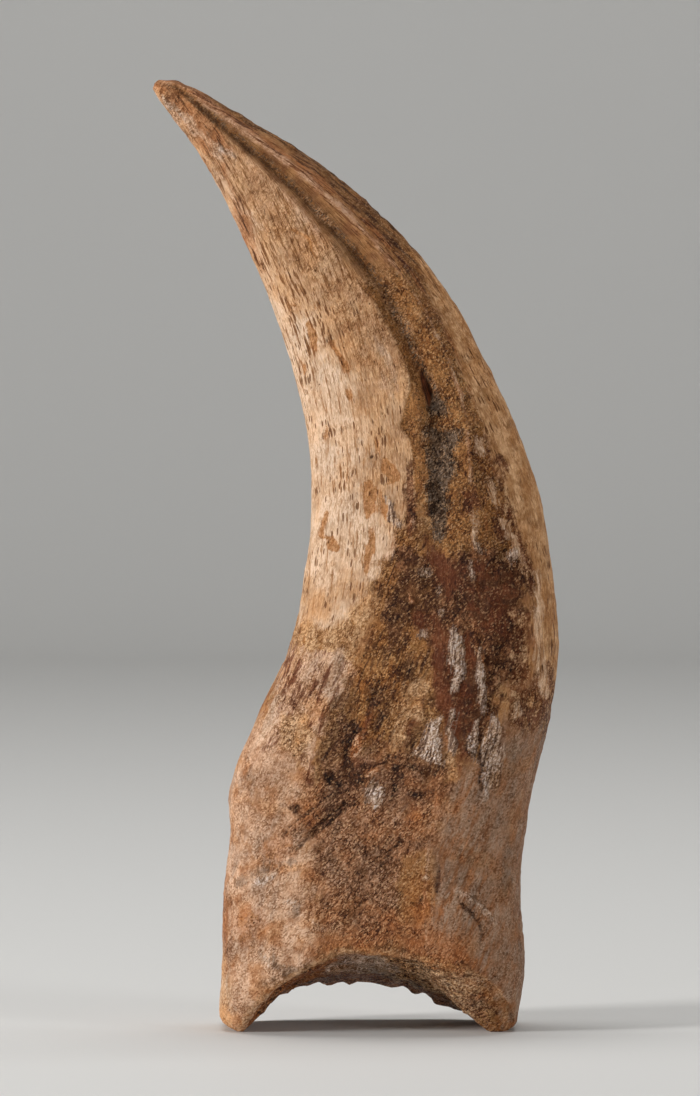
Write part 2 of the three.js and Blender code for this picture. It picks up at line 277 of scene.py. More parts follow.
def claw_surface():
    """The claw as rows of points from the joint face up to the tip: points (rows, columns, 3), and
    for each point along, across and half_width as in the sections, groove, the distance from the
    groove's line, and joint, how far it lies inside the joint face. Its end point is tip.

    The joint face's rows are its outline shrunk to the centre, and the rim's bend by a quarter
    circle. The tip's shrink by the cosine of a quarter turn and move forwards by its sine.
    """
    front = half_turn(1 - np.arange(FRONT_COLUMNS) / FRONT_COLUMNS)
    turns = np.concatenate((half_turn(np.arange(REAR_COLUMNS) / REAR_COLUMNS), 2 * np.pi - front))
    starts = wall_start(turns)
    centre = np.array(JOINT_CENTRE)
    outline = wall_point(starts, turns)[:, :2] - centre
    reach = np.hypot(*outline.T)
    radius = rim_radius(turns)
    rows = []

    def add_joint_row(share, lift, inside):
        place = centre + outline * share[:, None]
        height = joint_height(*place.T) + lift
        rows.append((np.column_stack((place, height)), starts, inside))

    for row in range(JOINT_ROWS):
        share = ((row + 1) / (JOINT_ROWS + 0.5)) ** JOINT_CROWDING
        add_joint_row((1 - radius / reach) * share, 0, (1 - share) * reach)
    for bend in math.pi / 2 * np.arange(RIM_ROWS) / RIM_ROWS:
        inset = radius * (1 - math.sin(bend))
        add_joint_row(1 - inset / reach, radius * (1 - math.cos(bend)), -radius * bend)
    for share in np.arange(WALL_ROWS + 1) / WALL_ROWS:
        along = LENGTH * share + starts * (1 - share) ** START_FADE
        rows.append((wall_point(along, turns), along, starts - along - radius * math.pi / 2))
    last, along, inside = rows[-1]
    palm_x, palm_z, back_x, back_z = SECTIONS[-1][1:5]
    middle = np.array(((palm_x + back_x) / 2, SIDE_BOW, (palm_z + back_z) / 2))
    forwards = np.array((palm_z - back_z, 0, back_x - palm_x))
    forwards *= TIP_ROUND / np.linalg.norm(forwards)
    for bend in math.pi / 2 * np.arange(1, TIP_ROWS + 1) / (TIP_ROWS + 1):
        shrunk = middle + (last - middle) * math.cos(bend)
        rows.append((shrunk + forwards * math.sin(bend), along, inside))

    points, along, joint = (np.stack(part) for part in zip(*rows))
    palm_x, palm_z, back_x, back_z, _, squareness = curve_through(SECTIONS, along)
    half_width = np.hypot(back_x - palm_x, back_z - palm_z) / 2
    across = signed_power(np.cos(turns), 2 / squareness)
    groove = groove_distance(along, across, half_width, np.sin(turns) > 0)
    return SimpleNamespace(
        points=points, along=along, across=across, half_width=half_width, groove=groove, joint=joint,
        tip=middle + forwards,
    )


# ---- Noise ----

NOISE_PERIOD = 48  # lattice cells before the noise repeats


def lumps(points, size, seed):
    """Smooth noise between -1 and 1 with lumps of about size.

    Random heights at the corners of a cubic lattice, eased between the eight corners of each cell.
    """
    lattice = np.random.default_rng(seed).uniform(-1, 1, (NOISE_PERIOD,) * 3)
    place = points / size
    corner = np.floor(place).astype(int)
    w = place - corner
    w = w * w * (3 - 2 * w)
    total = np.zeros(points.shape[:-1])
    for offset in itertools.product((0, 1), repeat=3):
        weight = np.where(offset, w, 1 - w).prod(axis=-1)
        cell = (corner + offset) % NOISE_PERIOD
        total += weight * lattice[cell[..., 0], cell[..., 1], cell[..., 2]]
    return total


def rough_lumps(points, size, seed, layers=3):
    """Lumps of size, with half as high lumps of half the size on them, and so on."""
    return sum(lumps(points, size / 2**layer, seed + layer) / 2**layer for layer in range(layers))


# ---- Stains: where each colour lies on the bone ----

# A stain's shapes are fields: distances into the shape, below nothing outside it. Places on the
# bone are written x,z and those of a streak x,z,half width.


def from_side(surface, ax, az, bx, bz):
    """Distance from the line between two places, and the share of the way along it."""
    side_x, side_z = bx - ax, bz - az
    from_x, from_z = surface.x - ax, surface.z - az
    share = (from_x * side_x + from_z * side_z) / (side_x**2 + side_z**2)
    share = np.clip(share, 0, 1)
    return np.hypot(from_x - share * side_x, from_z - share * side_z), share


def patch(*corners):
    """A closed outline of corners. Its field is the distance to the nearest side."""
    corners = np.reshape(corners, (-1, 2))

    def field(surface):
        nearest, is_inside = np.inf, False
        for (ax, az), (bx, bz) in zip(corners, np.roll(corners, -1, axis=0)):
            nearest = np.minimum(nearest, from_side(surface, ax, az, bx, bz)[0])
            if az != bz:
                side_x = ax + (surface.z - az) * (bx - ax) / (bz - az)
                is_level = (az > surface.z) != (bz > surface.z)
                is_inside = is_inside ^ (is_level & (surface.x < side_x))
        return np.where(is_inside, nearest, -nearest)

    return field


def streak(*points):
    """A line through points. Its field is the half width less the distance."""
    points = np.reshape(points, (-1, 3))

    def field(surface):
        best = -np.inf
        for (ax, az, a_width), (bx, bz, b_width) in zip(points, points[1:]):
            gap, share = from_side(surface, ax, az, bx, bz)
            best = np.maximum(best, a_width + (b_width - a_width) * share - gap)
        return best

    return field


def oval(from_x, from_z, half_x, half_z):
    """Near enough the distance into an oval."""
    return (1 - np.hypot(from_x / half_x, from_z / half_z)) * min(half_x, half_z)


def spot(x, z, half_x, half_z, turn=0):
    """An oval, turned by turn degrees from +X to +Z."""
    cos, sin = math.cos(math.radians(turn)), math.sin(math.radians(turn))

    def field(surface):
        from_x, from_z = surface.x - x, surface.z - z
        return oval(from_x * cos + from_z * sin, from_z * cos - from_x * sin, half_x, half_z)

    return field


def joint_oval(x, y, half_x, half_y):
    """An oval on the joint face."""
    return lambda surface: oval(surface.points[..., 0] - x, surface.points[..., 1] - y, half_x, half_y)


def groove_line(first, last, half_width, offset=0.0):
    """A strip along the groove of either face, between two distances along, narrow at its ends.
    offset is its distance to the back of the groove, as a share of the half width there."""

    def field(surface):
        end = np.minimum(surface.along - first, last - surface.along)
        return half_width * ease(end, -2, 12) - np.abs(surface.groove - offset * surface.half_width)

    return field


def rim_line(half_width, offset):
    """A strip round the edge of the joint face, offset outwards from where that face ends."""
    return lambda surface: half_width - np.abs(surface.joint + offset)


STAINS = []  # in the order in which they cover each other
USUAL = {
    "level": 0.53, "spread": 0.05, "edge": 0.5, "fray": 3.0, "wander": 0.6, "lift": 0.0, "grit": None,
    "strength": 1.0,
}
SOFT = {"edge": 2.5, "fray": 4.0, "wander": 1.6}
CRISP = {"edge": 0.25, "fray": 0.8, "wander": 0.3}


def stain(name, look, *shapes, **settings):
    """Adds a stain over the ones before it.

    look is its ground pigment, its fleck pigment and the pattern by which the fleck lies in the
    ground: from level of that pattern up, give or take spread. edge is half the width of the
    stain's soft edge, fray and wander how far that edge strays on a fine and a coarse scale, lift
    how far the stain stands up, grit how rough it is, and strength how much it covers.
    """
    ground, fleck, pattern = look.split()
    STAINS.append(SimpleNamespace(
        name=name, ground=ground, fleck=fleck, pattern=pattern, shapes=shapes, **(USUAL | settings)
    ))


# Ground colours, each over a wide part of the bone.
stain("low_left", "rose mauve mottle",
    patch(-34,-4, -34,62, -21,68, -14,60, -10,52, -10,38, -8,26, -8,12, -16,4),
    level=.58, spread=.12, grit=.13, **SOFT)
stain("low_right", "haze clay flow",
    patch(12,-4, 13,20, 17,40, 19,52, 24,56, 30,60, 32,66, 38,70, 46,60, 42,-4),
    level=.52, spread=.12, grit=.12, **SOFT)
stain("low_middle", "mauve clay slant", patch(-9,22, -8,40, -12,48, -8,56, 4,60, 20,54, 16,40, 11,26, 4,20),
    level=.54, spread=.06, grit=.26, **SOFT)
stain("above_rim", "amber clay crumbs",
    patch(-14,10, -8,20, 2,25, 12,25, 20,22, 27,13, 24,9, 12,13, 2,14, -6,12),
    patch(-31,5, -31,33, -27.4,32, -26.2,24, -26.6,10),
    level=.52, spread=.12, edge=1.6, fray=3.5, grit=.2, strength=.7)
stain("low_ochre", "tawny bone crumbs", patch(9.5,24, 9,32, 10.5,38, 15.5,38.5, 16.5,30, 15,24),
    level=.6, spread=.1, edge=1, grit=.16, strength=.8)
stain("groove_side", "tawny olive specks",
    patch(2,160, 12,160, 20,148, 27,132, 33,112, 34,98, 8,98, 8,120, 8,140, 4,152),
    level=.54, edge=2, grit=.26)
stain("tan_band", "bone tawny crumbs",
    patch(-22,90, -12,88, -4,89, 1,93, 4,98, 6,106, 11,109, 11,98, 7,91, 3,86, 0,78, -3,74, -9,79, -20,74),
    spread=.1, edge=1.2, grit=.2)
stain("olive_field", "tawny umber flow",
    patch(4,102, 8,106, 14,107, 17,102, 17,66, 12,60, 2,60, -3,68, 0,76, 4,86, 5,95),
    level=.56, spread=.08, edge=2, fray=4, grit=.26)
stain("back_strip", "tawny olive strands",
    patch(-30,194, -15,187, -8,182, -2,176, 4,168, 10,159, 17,152, 26,158, 8,180, -4,189, -18,196),
    level=.5, spread=.08, edge=1.2, fray=2.5, wander=.4, grit=.2)
# A dark band along the back edge near the tip, where that edge turns away from the light: painted shade.
stain("back_edge", "olive umber strands",
    streak(-38,199,.4, -24,194,1.3, -12,186,1.7, -1,176,1.7, 8,166,1.2, 14,157,.3),
    level=.56, edge=1.8, strength=.65)
stain("back_bone", "bone sand mottle",
    patch(12,163, 16,154, 19,148, 20.5,143, 22.5,138, 24.5,134, 25.5,129, 27,126, 28.5,121, 31,115,
    33.5,107, 35.5,100, 38.2,92, 38.8,85, 38,77, 40,68, 48,66, 52,90, 46,116, 34,142, 20,166),
    level=.48, spread=.1, grit=.12)

# The pale blade, and the tan point above it.
stain("bone_blade", "rose sand strands",
    patch(-48,202, -36,176, -27,160, -20,142, -16,92, 8,100, 9.5,130, 11,136, 9.6,142, 6,150, 1,158, -7,168,
    -15,177, -23,184, -30,190, -38,197), level=.56, edge=.8, fray=2.5, grit=.17)
stain("ivory_blade", "ivory sand strands",
    patch(-40,180, -27,156, -20,136, -18,88, -15,85.5, -9,85.5, -5,86.5, -1,88, .2,91, 2.5,93, 4.5,96,
    6,100, 8,106.5, 10.5,107, 12,114, 12.6,124.5, 10,127, 9.5,133, 5,136, 1,140, -4,149, -9,157, -16,165,
    -26,178), level=.6, spread=.07, edge=1.1, fray=4.5, wander=1.2, grit=.08)
# Duller sand over the blade near the seam and towards the tip: partly the bone's own beige tone, partly
# painted shade where the blade turns from the light.
stain("ivory_shade", "sand bone mottle",
    patch(14,106, 7,106, 2,114, 2,126, 0,134, -6,145, -14,160, -4,168, 12,150, 16,126),
    patch(-16,86, -6,87, 2,93, 2,99, -5,94, -14,92), patch(-44,202, -36,186, -30,181, -26,187, -38,200),
    patch(-36,188, -24,168, -14,152, -5,148, 0,152, -7,166, -17,179, -28,188),
    level=.5, spread=.12, edge=2.5, fray=4, wander=1.4, strength=.62)
stain("tip_brown", "amber umber strands",
    patch(-43,199, -36,190.6, -29.5,182.6, -25.6,185.4, -31,191.6, -40,199.5),
    streak(-28,182,.6, -23.6,171,1.3, -20,161,.4), level=.55, edge=1, grit=.16, strength=.7)
stain("ochre_seam", "tawny olive specks",
    patch(4,157, 9,150, 12,144, 14,138, 15.6,131, 15.3,124, 14.8,118, 14.5,110, 12.9,112, 12.2,117,
    12.1,124.5, 10.7,126, 9.5,127.3, 9.3,129, 10.8,131.9, 11.6,136, 10.6,140.1, 8.4,145.6, 5,152, 1.5,157),
    level=.55, lift=-.22, grit=.2, **CRISP)
stain("ochre_blotches", "ochre tawny specks", streak(-10,148.8,.4, -8.9,146,.8, -8,143.2,.35),
    patch(-11.8,141, -10.2,140.6, -10.4,139, -11,138.4, -11.6,139.4),
    streak(-4.4,144.5,.3, -3.6,142.5,.5, -2.3,139.5,.9), spot(-1.1, 134, .8, 1.6, 15),
    spot(-6.2, 126.6, .4, 1.5), spot(4.3, 123.5, .4, 1.5),
    patch(6,121.5, 8.4,118.5, 8.8,115.5, 7.2,114.8, 5.3,117, 5.4,120),
    patch(1.6,115, 3.6,115.6, 5.3,112, 4.6,109, 2.6,108.5, 1.5,111),
    streak(5.6,113,.3, 6.4,110,.8, 6.8,108.2,.4),
    patch(-6,104, -4.2,104.4, -2.6,101.6, -4,100.4, -5.6,101.5), spot(3, 101, .9, 4, -5),
    spot(-8.3, 153, .4, .9), spot(-12.4, 153, .9, .6), streak(-13,169,.3, -8,163.2,.4),
    streak(-6.5,110,.3, -7,104,.5), streak(-13.6,134,.2, -13.2,128,.4, -13.4,122,.2),
    lift=-.16, grit=.14, strength=.88, **CRISP)
stain("holes", "umber peat specks", spot(-10.1, 134.2, .3, .32), spot(3.1, 120.6, .22, .34),
    spot(31.4, 100.4, .55, .7), spot(35.3, 85.3, .5, .7), edge=.15, fray=.3, wander=.08, lift=-.3)

# The groove and the stony filling at its foot, with a painted highlight along its crest and painted shade
# in its floor and behind its crest.
stain("groove_floor", "tawny slate specks", groove_line(138, 218, .9),
    level=.5, fray=1.6, wander=.3, grit=.2, strength=.85)
# A thin dark line along the bottom of the groove: painted shade in the groove.
stain("groove_thread", "umber olive specks", groove_line(132, 186, .3, -.03),
    groove_line(188, 222, .4, -.04), level=.52, fray=1.6, wander=.3, grit=.16, strength=.5)
# A pale line along the crest beside the groove: a painted highlight where the crest catches the light.
stain("crest_line", "rose amber strands", groove_line(162, 222, .6, .29),
    level=.57, fray=2.4, wander=.5, lift=.15, grit=.16, strength=.75)
# A darker line behind the crest, on its slope that turns away from the light: painted shade.
stain("crest_rear", "amber umber strands", groove_line(150, 222, .4, .4),
    level=.56, edge=.4, fray=2, strength=.6)
stain("groove_grime", "slate ochre specks", streak(-12,176,.2, -8,172.6,.7, -4.5,169,.2),
    streak(4.5,157.5,.4, 9.5,149.5,.7, 13,142,.9, 15,137.5,.9, 17,132,1.1),
    level=.5, fray=2.4, wander=.5, grit=.34, strength=.9)
stain("matrix", "slate peat specks", patch(15.3,132, 16.4,134, 19.2,133.4, 20,130, 18,128.8, 16,129),
    patch(15.2,127, 19,126.8, 22.4,127, 21.8,124, 20.4,123, 21.5,120.5, 20.6,117, 19,114.5, 19.8,111,
    19.6,108, 18,104, 16.5,104.5, 15.8,108, 15.4,116, 15.2,122),
    level=.57, edge=.7, fray=3.5, lift=-.12, grit=.42, strength=.92)
stain("slot", "rust peat strands", streak(13.7,139.4,.1, 14.5,137,.5, 15.4,134.2,.55, 16.4,131.4,.1),
    edge=.2, fray=.4, wander=.1, lift=-.6, grit=.05)

# Red and dark browns.
stain("red_streaks", "rust umber crumbs",
    streak(11.9,121,.2, 11.4,116,.6, 11.6,112,.8, 12.2,107.5,1.2, 11.4,105,.6),
    streak(25.6,126,.3, 25.4,122.5,.8, 26,118.5,.5),
    streak(26.4,122,.2, 28.6,119.4,.5, 30.6,120.4,.6, 31.6,118.6,.3), streak(27.4,119.5,.3, 27.8,116.5,.4),
    patch(22.2,113.5, 24.6,114, 25.6,111.2, 23.8,108.4, 22.4,109.6), spot(31.8, 111, 1, 3.2, 12),
    spot(30.4, 105.5, .9, 2.4, 10), streak(35.2,101.8,.5, 36.1,97,1, 37,92,.5),
    lift=-.15, grit=.26, strength=.8)
stain("umber_field", "umber clay crumbs",
    patch(9,100, 12,102, 15,101, 20,100, 27,101.5, 31,99.5, 34,99.5, 35.5,95, 34.4,90, 35.5,85, 34.5,80,
    33.5,75, 29,70, 28,62, 24,58, 22,64, 19.5,71, 17,69, 16,76, 15,82, 11,86, 9,84, 8,80, 6,83, 5,88, 7,92,
    9,96), level=.51, spread=.07, edge=.7, fray=3.5, wander=1.6, grit=.32, strength=.95)
stain("umber_flow", "umber olive crumbs", patch(7,88, 9,85, 13,86, 17,90, 17,96, 13,99, 9,96),
    spot(7.3, 87.3, 1.6, 2), spot(9, 82, 1.2, 2.6, -20), spot(3.5, 72, 1.6, 1.2),
    streak(12,72,.5, 11,77,1.2, 11.5,80,.5), level=.51, spread=.06, edge=.7, fray=2.5, grit=.3, strength=.6)
stain("umber_smooth", "umber rust mottle",
    patch(22,98, 28,98.5, 33,96, 34,90, 33,84, 27,84, 23.5,88, 21.5,93),
    patch(16.6,79, 17.2,70, 19.5,66, 21.5,60.5, 23.5,58, 25.5,60, 27,68, 27.5,76, 24.5,81, 20,84.5),
    level=.5, edge=1.2, fray=4, wander=1.2, grit=.16, strength=.75)
stain("rust_tongue", "rust umber crumbs",
    patch(14.5,105.5, 17,103, 19.2,99.5, 21.5,95, 19.8,91, 17,95, 14.8,100), spot(13.3, 86.2, 1.6, 2.2),
    streak(16.3,88,.5, 17.5,84,1.3, 17.2,76,1.4, 19,69,1.9, 21,62,1.5, 22,57,.4),
    streak(23.5,84,1, 25,79,.6), streak(1.6,62,.3, 3.4,67.5,.8, 5.2,72,.3),
    streak(9,59,.4, 11.6,65,1.1, 14,71,.4), streak(-4.6,58,.3, -3,63,.6, -1.6,67,.2),
    spot(-.5, 57.5, 2.2, 2.6, -20), level=.6, edge=.7, fray=2.6, grit=.12, strength=.85)

# Fibres and bands below the blade.
stain("mauve_field", "rose rust flow",
    patch(-19,60, -17,71, -14.5,78, -9,80.5, -3,80.5, .5,76, -2,69, -7,63.5, -12,60),
    streak(-9.6,62,1.8, -10.2,53,1.3), edge=.6, fray=2.5, wander=1, grit=.17, strength=.9)
stain("pale_streaks", "ivory rose strands", spot(6.6, 135.5, 1, 2.4, 25),
    streak(4.5,146,.3, 7.4,140,.7, 8.8,135,.4), streak(-34,186,.3, -26,176,.8, -20,169,.3),
    streak(-39.6,195.4,.2, -36,192,.6, -31,187.4,.5, -28,183,.2),
    streak(-19.6,61.5,.5, -17.8,65.5,1, -15.8,69.8,.4), streak(-28,49,.5, -27.2,54,.8, -23.6,60,.4),
    streak(-17,75,.2, -15,80,.8, -13,86,.4), spot(-3.2, 77, .5, 2.6, -20), edge=.7, wander=.4, strength=.7)
stain("olive_bands", "olive umber crumbs", streak(-8,53,1.2, -6,58,2.2, -3.5,66,2.2, -1,73,1.6),
    streak(3,60,.8, 5.5,68,1.4, 7,74,.8), streak(11.5,58,.8, 12.8,64,1.2, 15.6,72,.6),
    # This streak along the front rim is painted shade, a band where the wall rolls over into the joint
    # face.
    streak(-20,9.6,.2, -10,14.6,.6, -2,18.2,.7, 6,18,.9, 14,16.6,.7, 22,14.4,.5, 27,12,.2),
    level=.58, edge=.8, fray=2.5, wander=.9, grit=.22, strength=.75)
stain("ochre_light", "bone olive specks", patch(-15.5,59, -14.5,66, -10,67, -8,63, -10,58.5),
    patch(8.5,66, 9.5,73, 14.5,74.5, 14,67), streak(8.3,58,.8, 9.6,66,1.2),
    patch(18.2,60.5, 21.4,60, 21.6,53.8, 18.4,53.5),
    level=.58, edge=.6, fray=2.4, wander=.9, grit=.2, strength=.75)
stain("hollow_shade", "umber mauve slant",
    patch(-7,47, -7,58, -3,66, 2,62, 10,60, 19,60, 20,52, 15,48.5, 8,47, 2,50),
    level=.52, edge=1, wander=1.4, grit=.26, strength=.5)
# Dark paint in the crevices that this stain carves: painted shade in them.
stain("dark_hollows", "umber peat crumbs",
    patch(-2.8,54, -2,62, -.5,66, 1,64, -.6,60, .4,56.8, 2.6,57, 1.5,53.6), spot(-4.6, 53.6, 1.6, 2.2),
    streak(2.4,66,.4, 4,70,.9, 5,73.5,.4), streak(9.6,59,.6, 8.8,55,1, 8.2,49.5,.3),
    streak(10.2,49.6,.2, 12.5,51,.4, 15.5,51,.1), streak(11.5,56.5,.5, 14.5,55,.7, 17.5,57,.2),
    streak(4.4,63,.3, 6.8,67.5,.5), streak(2.8,56.5,.3, 8,58,.4),
    streak(4.8,31.2,.3, 6.5,35,.6, 8.6,38.6,.3),
    streak(10,29.6,.1, 12,27.8,.25, 13.4,27.6,.25, 14.6,29.4,.1), spot(-12, 47.3, .7, 1),
    # The second streak on the next line is a painted shadow under the pale ridge at the right of the base.
    streak(-9.5,41.8,.1, -4,46.2,.5, 0,49.6,.2), streak(22.6,27.6,.1, 25.4,24.4,.3, 26.8,20.4,.1),
    fray=2.4, lift=-.35, grit=.24, strength=.88)
stain("red_nubs", "amber rose crumbs", spot(.3, 60.3, 1.1, 1.8, -10), spot(12.3, 107.4, .5, .8),
    spot(26.8, 78.6, .5, .8), spot(12, 91.5, .6, 1.1, 20), streak(1.5,56,.3, 3,54.8,.7, 5,55.5,.3),
    lift=.45, grit=.24, strength=.85, **CRISP)
stain("back_mottle", "rust bone crumbs",
    patch(32.5,88, 36.4,88, 37,80, 36,74, 41,77, 43,66, 36,62, 31.5,67, 33,78),
    streak(27.5,124,.3, 30.5,115,.9, 33.6,105,1, 37,95,.8, 38.6,86,.2),
    level=.54, spread=.06, edge=.7, fray=4.5, wander=1.2, grit=.24, strength=.8)
stain("back_cream", "ivory tawny strands", spot(26.2, 123, .9, 2, 20), spot(28.6, 113, 1, 2.8, 12),
    streak(30.6,106.5,.4, 33,103.4,1.1, 34.8,99,.4), spot(24.8, 106.5, .5, 1.6, 10),
    streak(37.6,97,.3, 38.6,90,1, 38.6,80,1.1, 39.4,70,.4), spot(34, 68.5, 1, 1.6),
    level=.56, edge=.4, lift=.1, grit=.12, strength=.8)

# White mineral crust.
stain("chalk", "chalk umber strands",
    patch(20.4,85, 21.8,84.2, 23.2,82, 23.4,79, 22.4,76, 21.6,72.6, 20.2,72, 20.4,76.5, 19.6,79, 19.8,82),
    streak(26.6,80.5,.4, 26.6,77,.7, 25.9,73,.9, 26.3,68,.4), streak(19.6,69,.3, 20,66.5,.6),
    patch(18.4,66, 19.6,66, 21.4,62, 21,59, 19.6,60.5),
    patch(23.6,60, 23.8,64, 25.2,66.5, 26.4,64.5, 26,58),
    patch(26.4,52.4, 26,58, 26.8,63, 29,67.4, 31.4,64, 31.4,57, 30,52.6), streak(27.2,55,.3, 27.4,50.5,.4),
    spot(18.1, 92.3, .6, .8), spot(18.3, 88.7, .5, .7), streak(24.5,99,.2, 24.6,96,.4),
    streak(25.1,104.5,.3, 26.2,101,.4), spot(32.7, 99.6, .9, 1.5),
    streak(7.2,111.5,.3, 8,109,.6, 9.6,107.3,.5),
    patch(12,58.8, 13.6,62, 15.4,67.8, 17.8,68, 17.4,64, 18.4,60, 18,58, 15,57.6),
    patch(1.6,53, 4,54, 6,51.5, 5.4,49.2, 3.8,47.6, 1.8,49.6),
    patch(13.6,97.6, 14.8,98.2, 16,97, 15.6,95.8, 14.4,96.2), spot(13.5, 83.7, .8, .6),
    spread=.03, edge=.25, fray=3.6, lift=.25, grit=.24, strength=.8)

# The base.
stain("side_bloom", "haze clay strands",
    patch(31,66, 37,64, 38,56, 36.5,44, 35,30, 32,24, 29,30, 29,42, 27,50, 31,54),
    spot(32.5, 17, 3, 7, -10), spot(-15, 55.5, 1.8, 2.8), spot(-18.2, 47, 1.4, 2), spot(-19, 52, 4, 4.5),
    edge=2, wander=1, grit=.12, strength=.45)
stain("slant_bands", "umber mauve slant", streak(-14,41.5,.5, -7,46.5,.9, -2.5,50.8,.5),
    streak(-14.5,38.5,.4, -8,43,1, -2,47.5,.5), streak(-9,38.5,.3, -3,43.5,.7),
    spread=.04, edge=.6, fray=1.6, lift=-.2, grit=.28, strength=.55)
stain("amber_marks", "amber ochre crumbs", streak(-15.5,41,.3, -10,46.8,.4, -7.5,51,.8),
    spot(-8.5, 48.5, 1.2, 2.8, -20), spot(12, 47.3, 1.6, 1.6), spot(3, 42, 2.5, 1.5, 20),
    spot(-17, 38, 3, 5, -15), spot(-22, 22, 3, 5, -15), spot(14, 25, 2.5, 3),
    level=.54, edge=1.3, fray=3.4, wander=.9, grit=.16, strength=.5)
stain("spongy", "mauve umber crumbs", patch(-6,24, -5,34, -1,41, 5,43, 10,41, 8,34, 8,27, 2,22),
    level=.57, spread=.04, edge=2, fray=4, wander=1.5, grit=.42, strength=.75)
stain("blue_smudges", "slate haze specks", spot(-14, 36.4, 2.4, .7, -10), spot(-23.4, 31.4, 1.6, .6, 20),
    spot(-19.5, 34.6, 1.2, .5, 40), streak(-17.4,17.5,.4, -17,14.2,.6, -14.5,12.8,.8, -11.8,14,.4),
    streak(31.4,46,.2, 31.8,38,.5, 31.3,29,.2), spot(33, 58.5, 1.4, 2.2), spot(-7.5, 20.8, .5, .5),
    spot(-12, 26, .5, 1.6, -10), level=.5, edge=.6, fray=2.6, strength=.6)
stain("slits", "umber peat specks",
    streak(-15.7,41.4,.1, -11.3,45.8,.3, -5.5,49.4,.35, 1.8,54.5,.3, 8.3,58.9,.1),
    streak(-9.8,42.5,.1, -2.6,48,.35, 4.7,53,.1), streak(-13.5,38.5,.1, -7.7,42.5,.3, -.4,48,.1),
    streak(9.4,44,.1, 9.1,42,.5, 7.6,39.2,.45, 5.4,35.6,.1), streak(8,57.4,.1, 7.8,53,.4, 7.6,50.1,.1),
    streak(-1.5,62.5,.1, -1.8,58,.45, -1.8,55.2,.15),
    streak(-8.4,53,.1, -6.9,58,.3, -1.1,64.7,.3, 2.5,70.5,.1),
    streak(26.2,60.3,.1, 26.4,55,.4, 26.5,51.6,.1), streak(13.4,64.7,.1, 11.2,58.1,.3),
    streak(17,29.5,.1, 17.6,33,.35, 17.3,37,.1), edge=.3, fray=.9, wander=.3, lift=-.25, strength=.8)
stain("pale_marks", "chalk rose crumbs", spot(-18.3, 33.2, 3, 1, 42), spot(-8, 23.2, 1, .8),
    spot(26.4, 40.6, .35, .6), streak(-30.4,187,.2, -28.4,185.4,.6, -25.4,183.6,.3),
    streak(-40,196,.2, -37.4,193,.35, -33.4,188.6,.15), spot(15, 33.3, .7, .5),
    spot(-19, 15.5, 2.4, 1, -60), spot(-13.5, 27.5, 1, .6),
    streak(21.3,30.2,.2, 24,28.8,.35, 26.5,27,.4, 28,24.6,.35, 29,22.3,.2),
    edge=.4, fray=2, wander=.3, lift=.2, grit=.22, strength=.75)
# A pale line round the rim of the joint face: a painted highlight on the rim's edge.
stain("rim_wear", "bone amber crumbs", rim_line(.7, .9), fray=2.2, wander=.3, grit=.16, strength=.55)
stain("lip_light", "bone ivory strands", patch(-31,-2, -31,15, -27.2,15, -26,8, -26.6,0),
    edge=1.6, fray=2.4, grit=.1, strength=.75)

# The joint face.
stain("joint_floor", "amber umber crumbs", joint_oval(0, 0, 90, 90), level=.57, grit=.3, **CRISP)
stain("joint_grey", "bone umber crumbs", joint_oval(12, -3, 12, 16), edge=1.5, fray=4, wander=2.4, grit=.36)
stain("joint_pale", "chalk clay mottle", joint_oval(1.5, -9.5, 7.5, 9),
    level=.58, edge=1.4, fray=4, wander=2.4, grit=.36, strength=.7)
stain("joint_brown", "bone rust crumbs", joint_oval(22, -1, 7, 15),
    level=.54, edge=1.5, fray=4, wander=2, grit=.42, strength=.8)
stain("joint_lip", "tawny clay crumbs", joint_oval(36, 0, 11, 24), edge=1.4, wander=1.6, grit=.22)

WANDER_SIZE = 2.6  # size of the coarse straying of a stain's edge
WANDER_SEED, SEED_STEP = 100, 7  # of the first stain's straying, and from each to the next
FIELD_LIMIT = 6.0  # fields are held within this distance, which is past every soft edge
BASE_GRIT = 0.1
REAR_FADE = 12.0  # how far behind the middle the rear face has places all of its own
EDGE_SWAY = 5.0  # how far the stains' outlines stray up and down on the palm and back edges
JOINT_EDGE = 0.3  # how far inside the rim's rounding the joint face's own colours begin


def pattern_places(points, across):
    """The x and z at which the stains are looked up.

    They are the point's own on the front face, swayed by noise, which makes the outlines uneven.
    On the palm and back edges z sways further. Towards the rear face both drift by slow waves, so
    that the rear has stains of the same kinds in places of its own.
    """
    x, y, z = np.moveaxis(points, -1, 0)
    rear = ease(y, 0, REAR_FADE)
    drift_x = 5.0 * np.sin(z / 23 + 0.7) + 2.0 * np.sin(z / 9)
    drift_z = 9.0 * np.sin(x / 15 + z / 40 + 2.0)
    sway_x = 0.7 * rough_lumps(points, 4.5, 51)
    sway_z = 1.1 * rough_lumps(points, 4.5, 61)
    sway_z += EDGE_SWAY * ease(np.abs(across), 0.88, 1.0) * rough_lumps(points, 9.0, 71)
    return x + rear * drift_x + sway_x, z + rear * drift_z + sway_z


def stain_fields(surface):
    """How far inside each stain each point lies: the most that it lies inside any of its shapes,
    with an edge that wanders by noise. The joint's stains are held to the joint face."""
    surface.x, surface.z = pattern_places(surface.points, surface.across)
    fields = {}
    for number, one in enumerate(STAINS):
        field = np.max([shape(surface) for shape in one.shapes], axis=0)
        seed = WANDER_SEED + SEED_STEP * number
        field += one.wander * rough_lumps(surface.points, WANDER_SIZE, seed, 2)
        if one.name.startswith("joint"):
            field = np.minimum(field, surface.joint - JOINT_EDGE)
        fields[one.name] = np.clip(field, -FIELD_LIMIT, FIELD_LIMIT)
    return fields


# ---- Fine relief ----

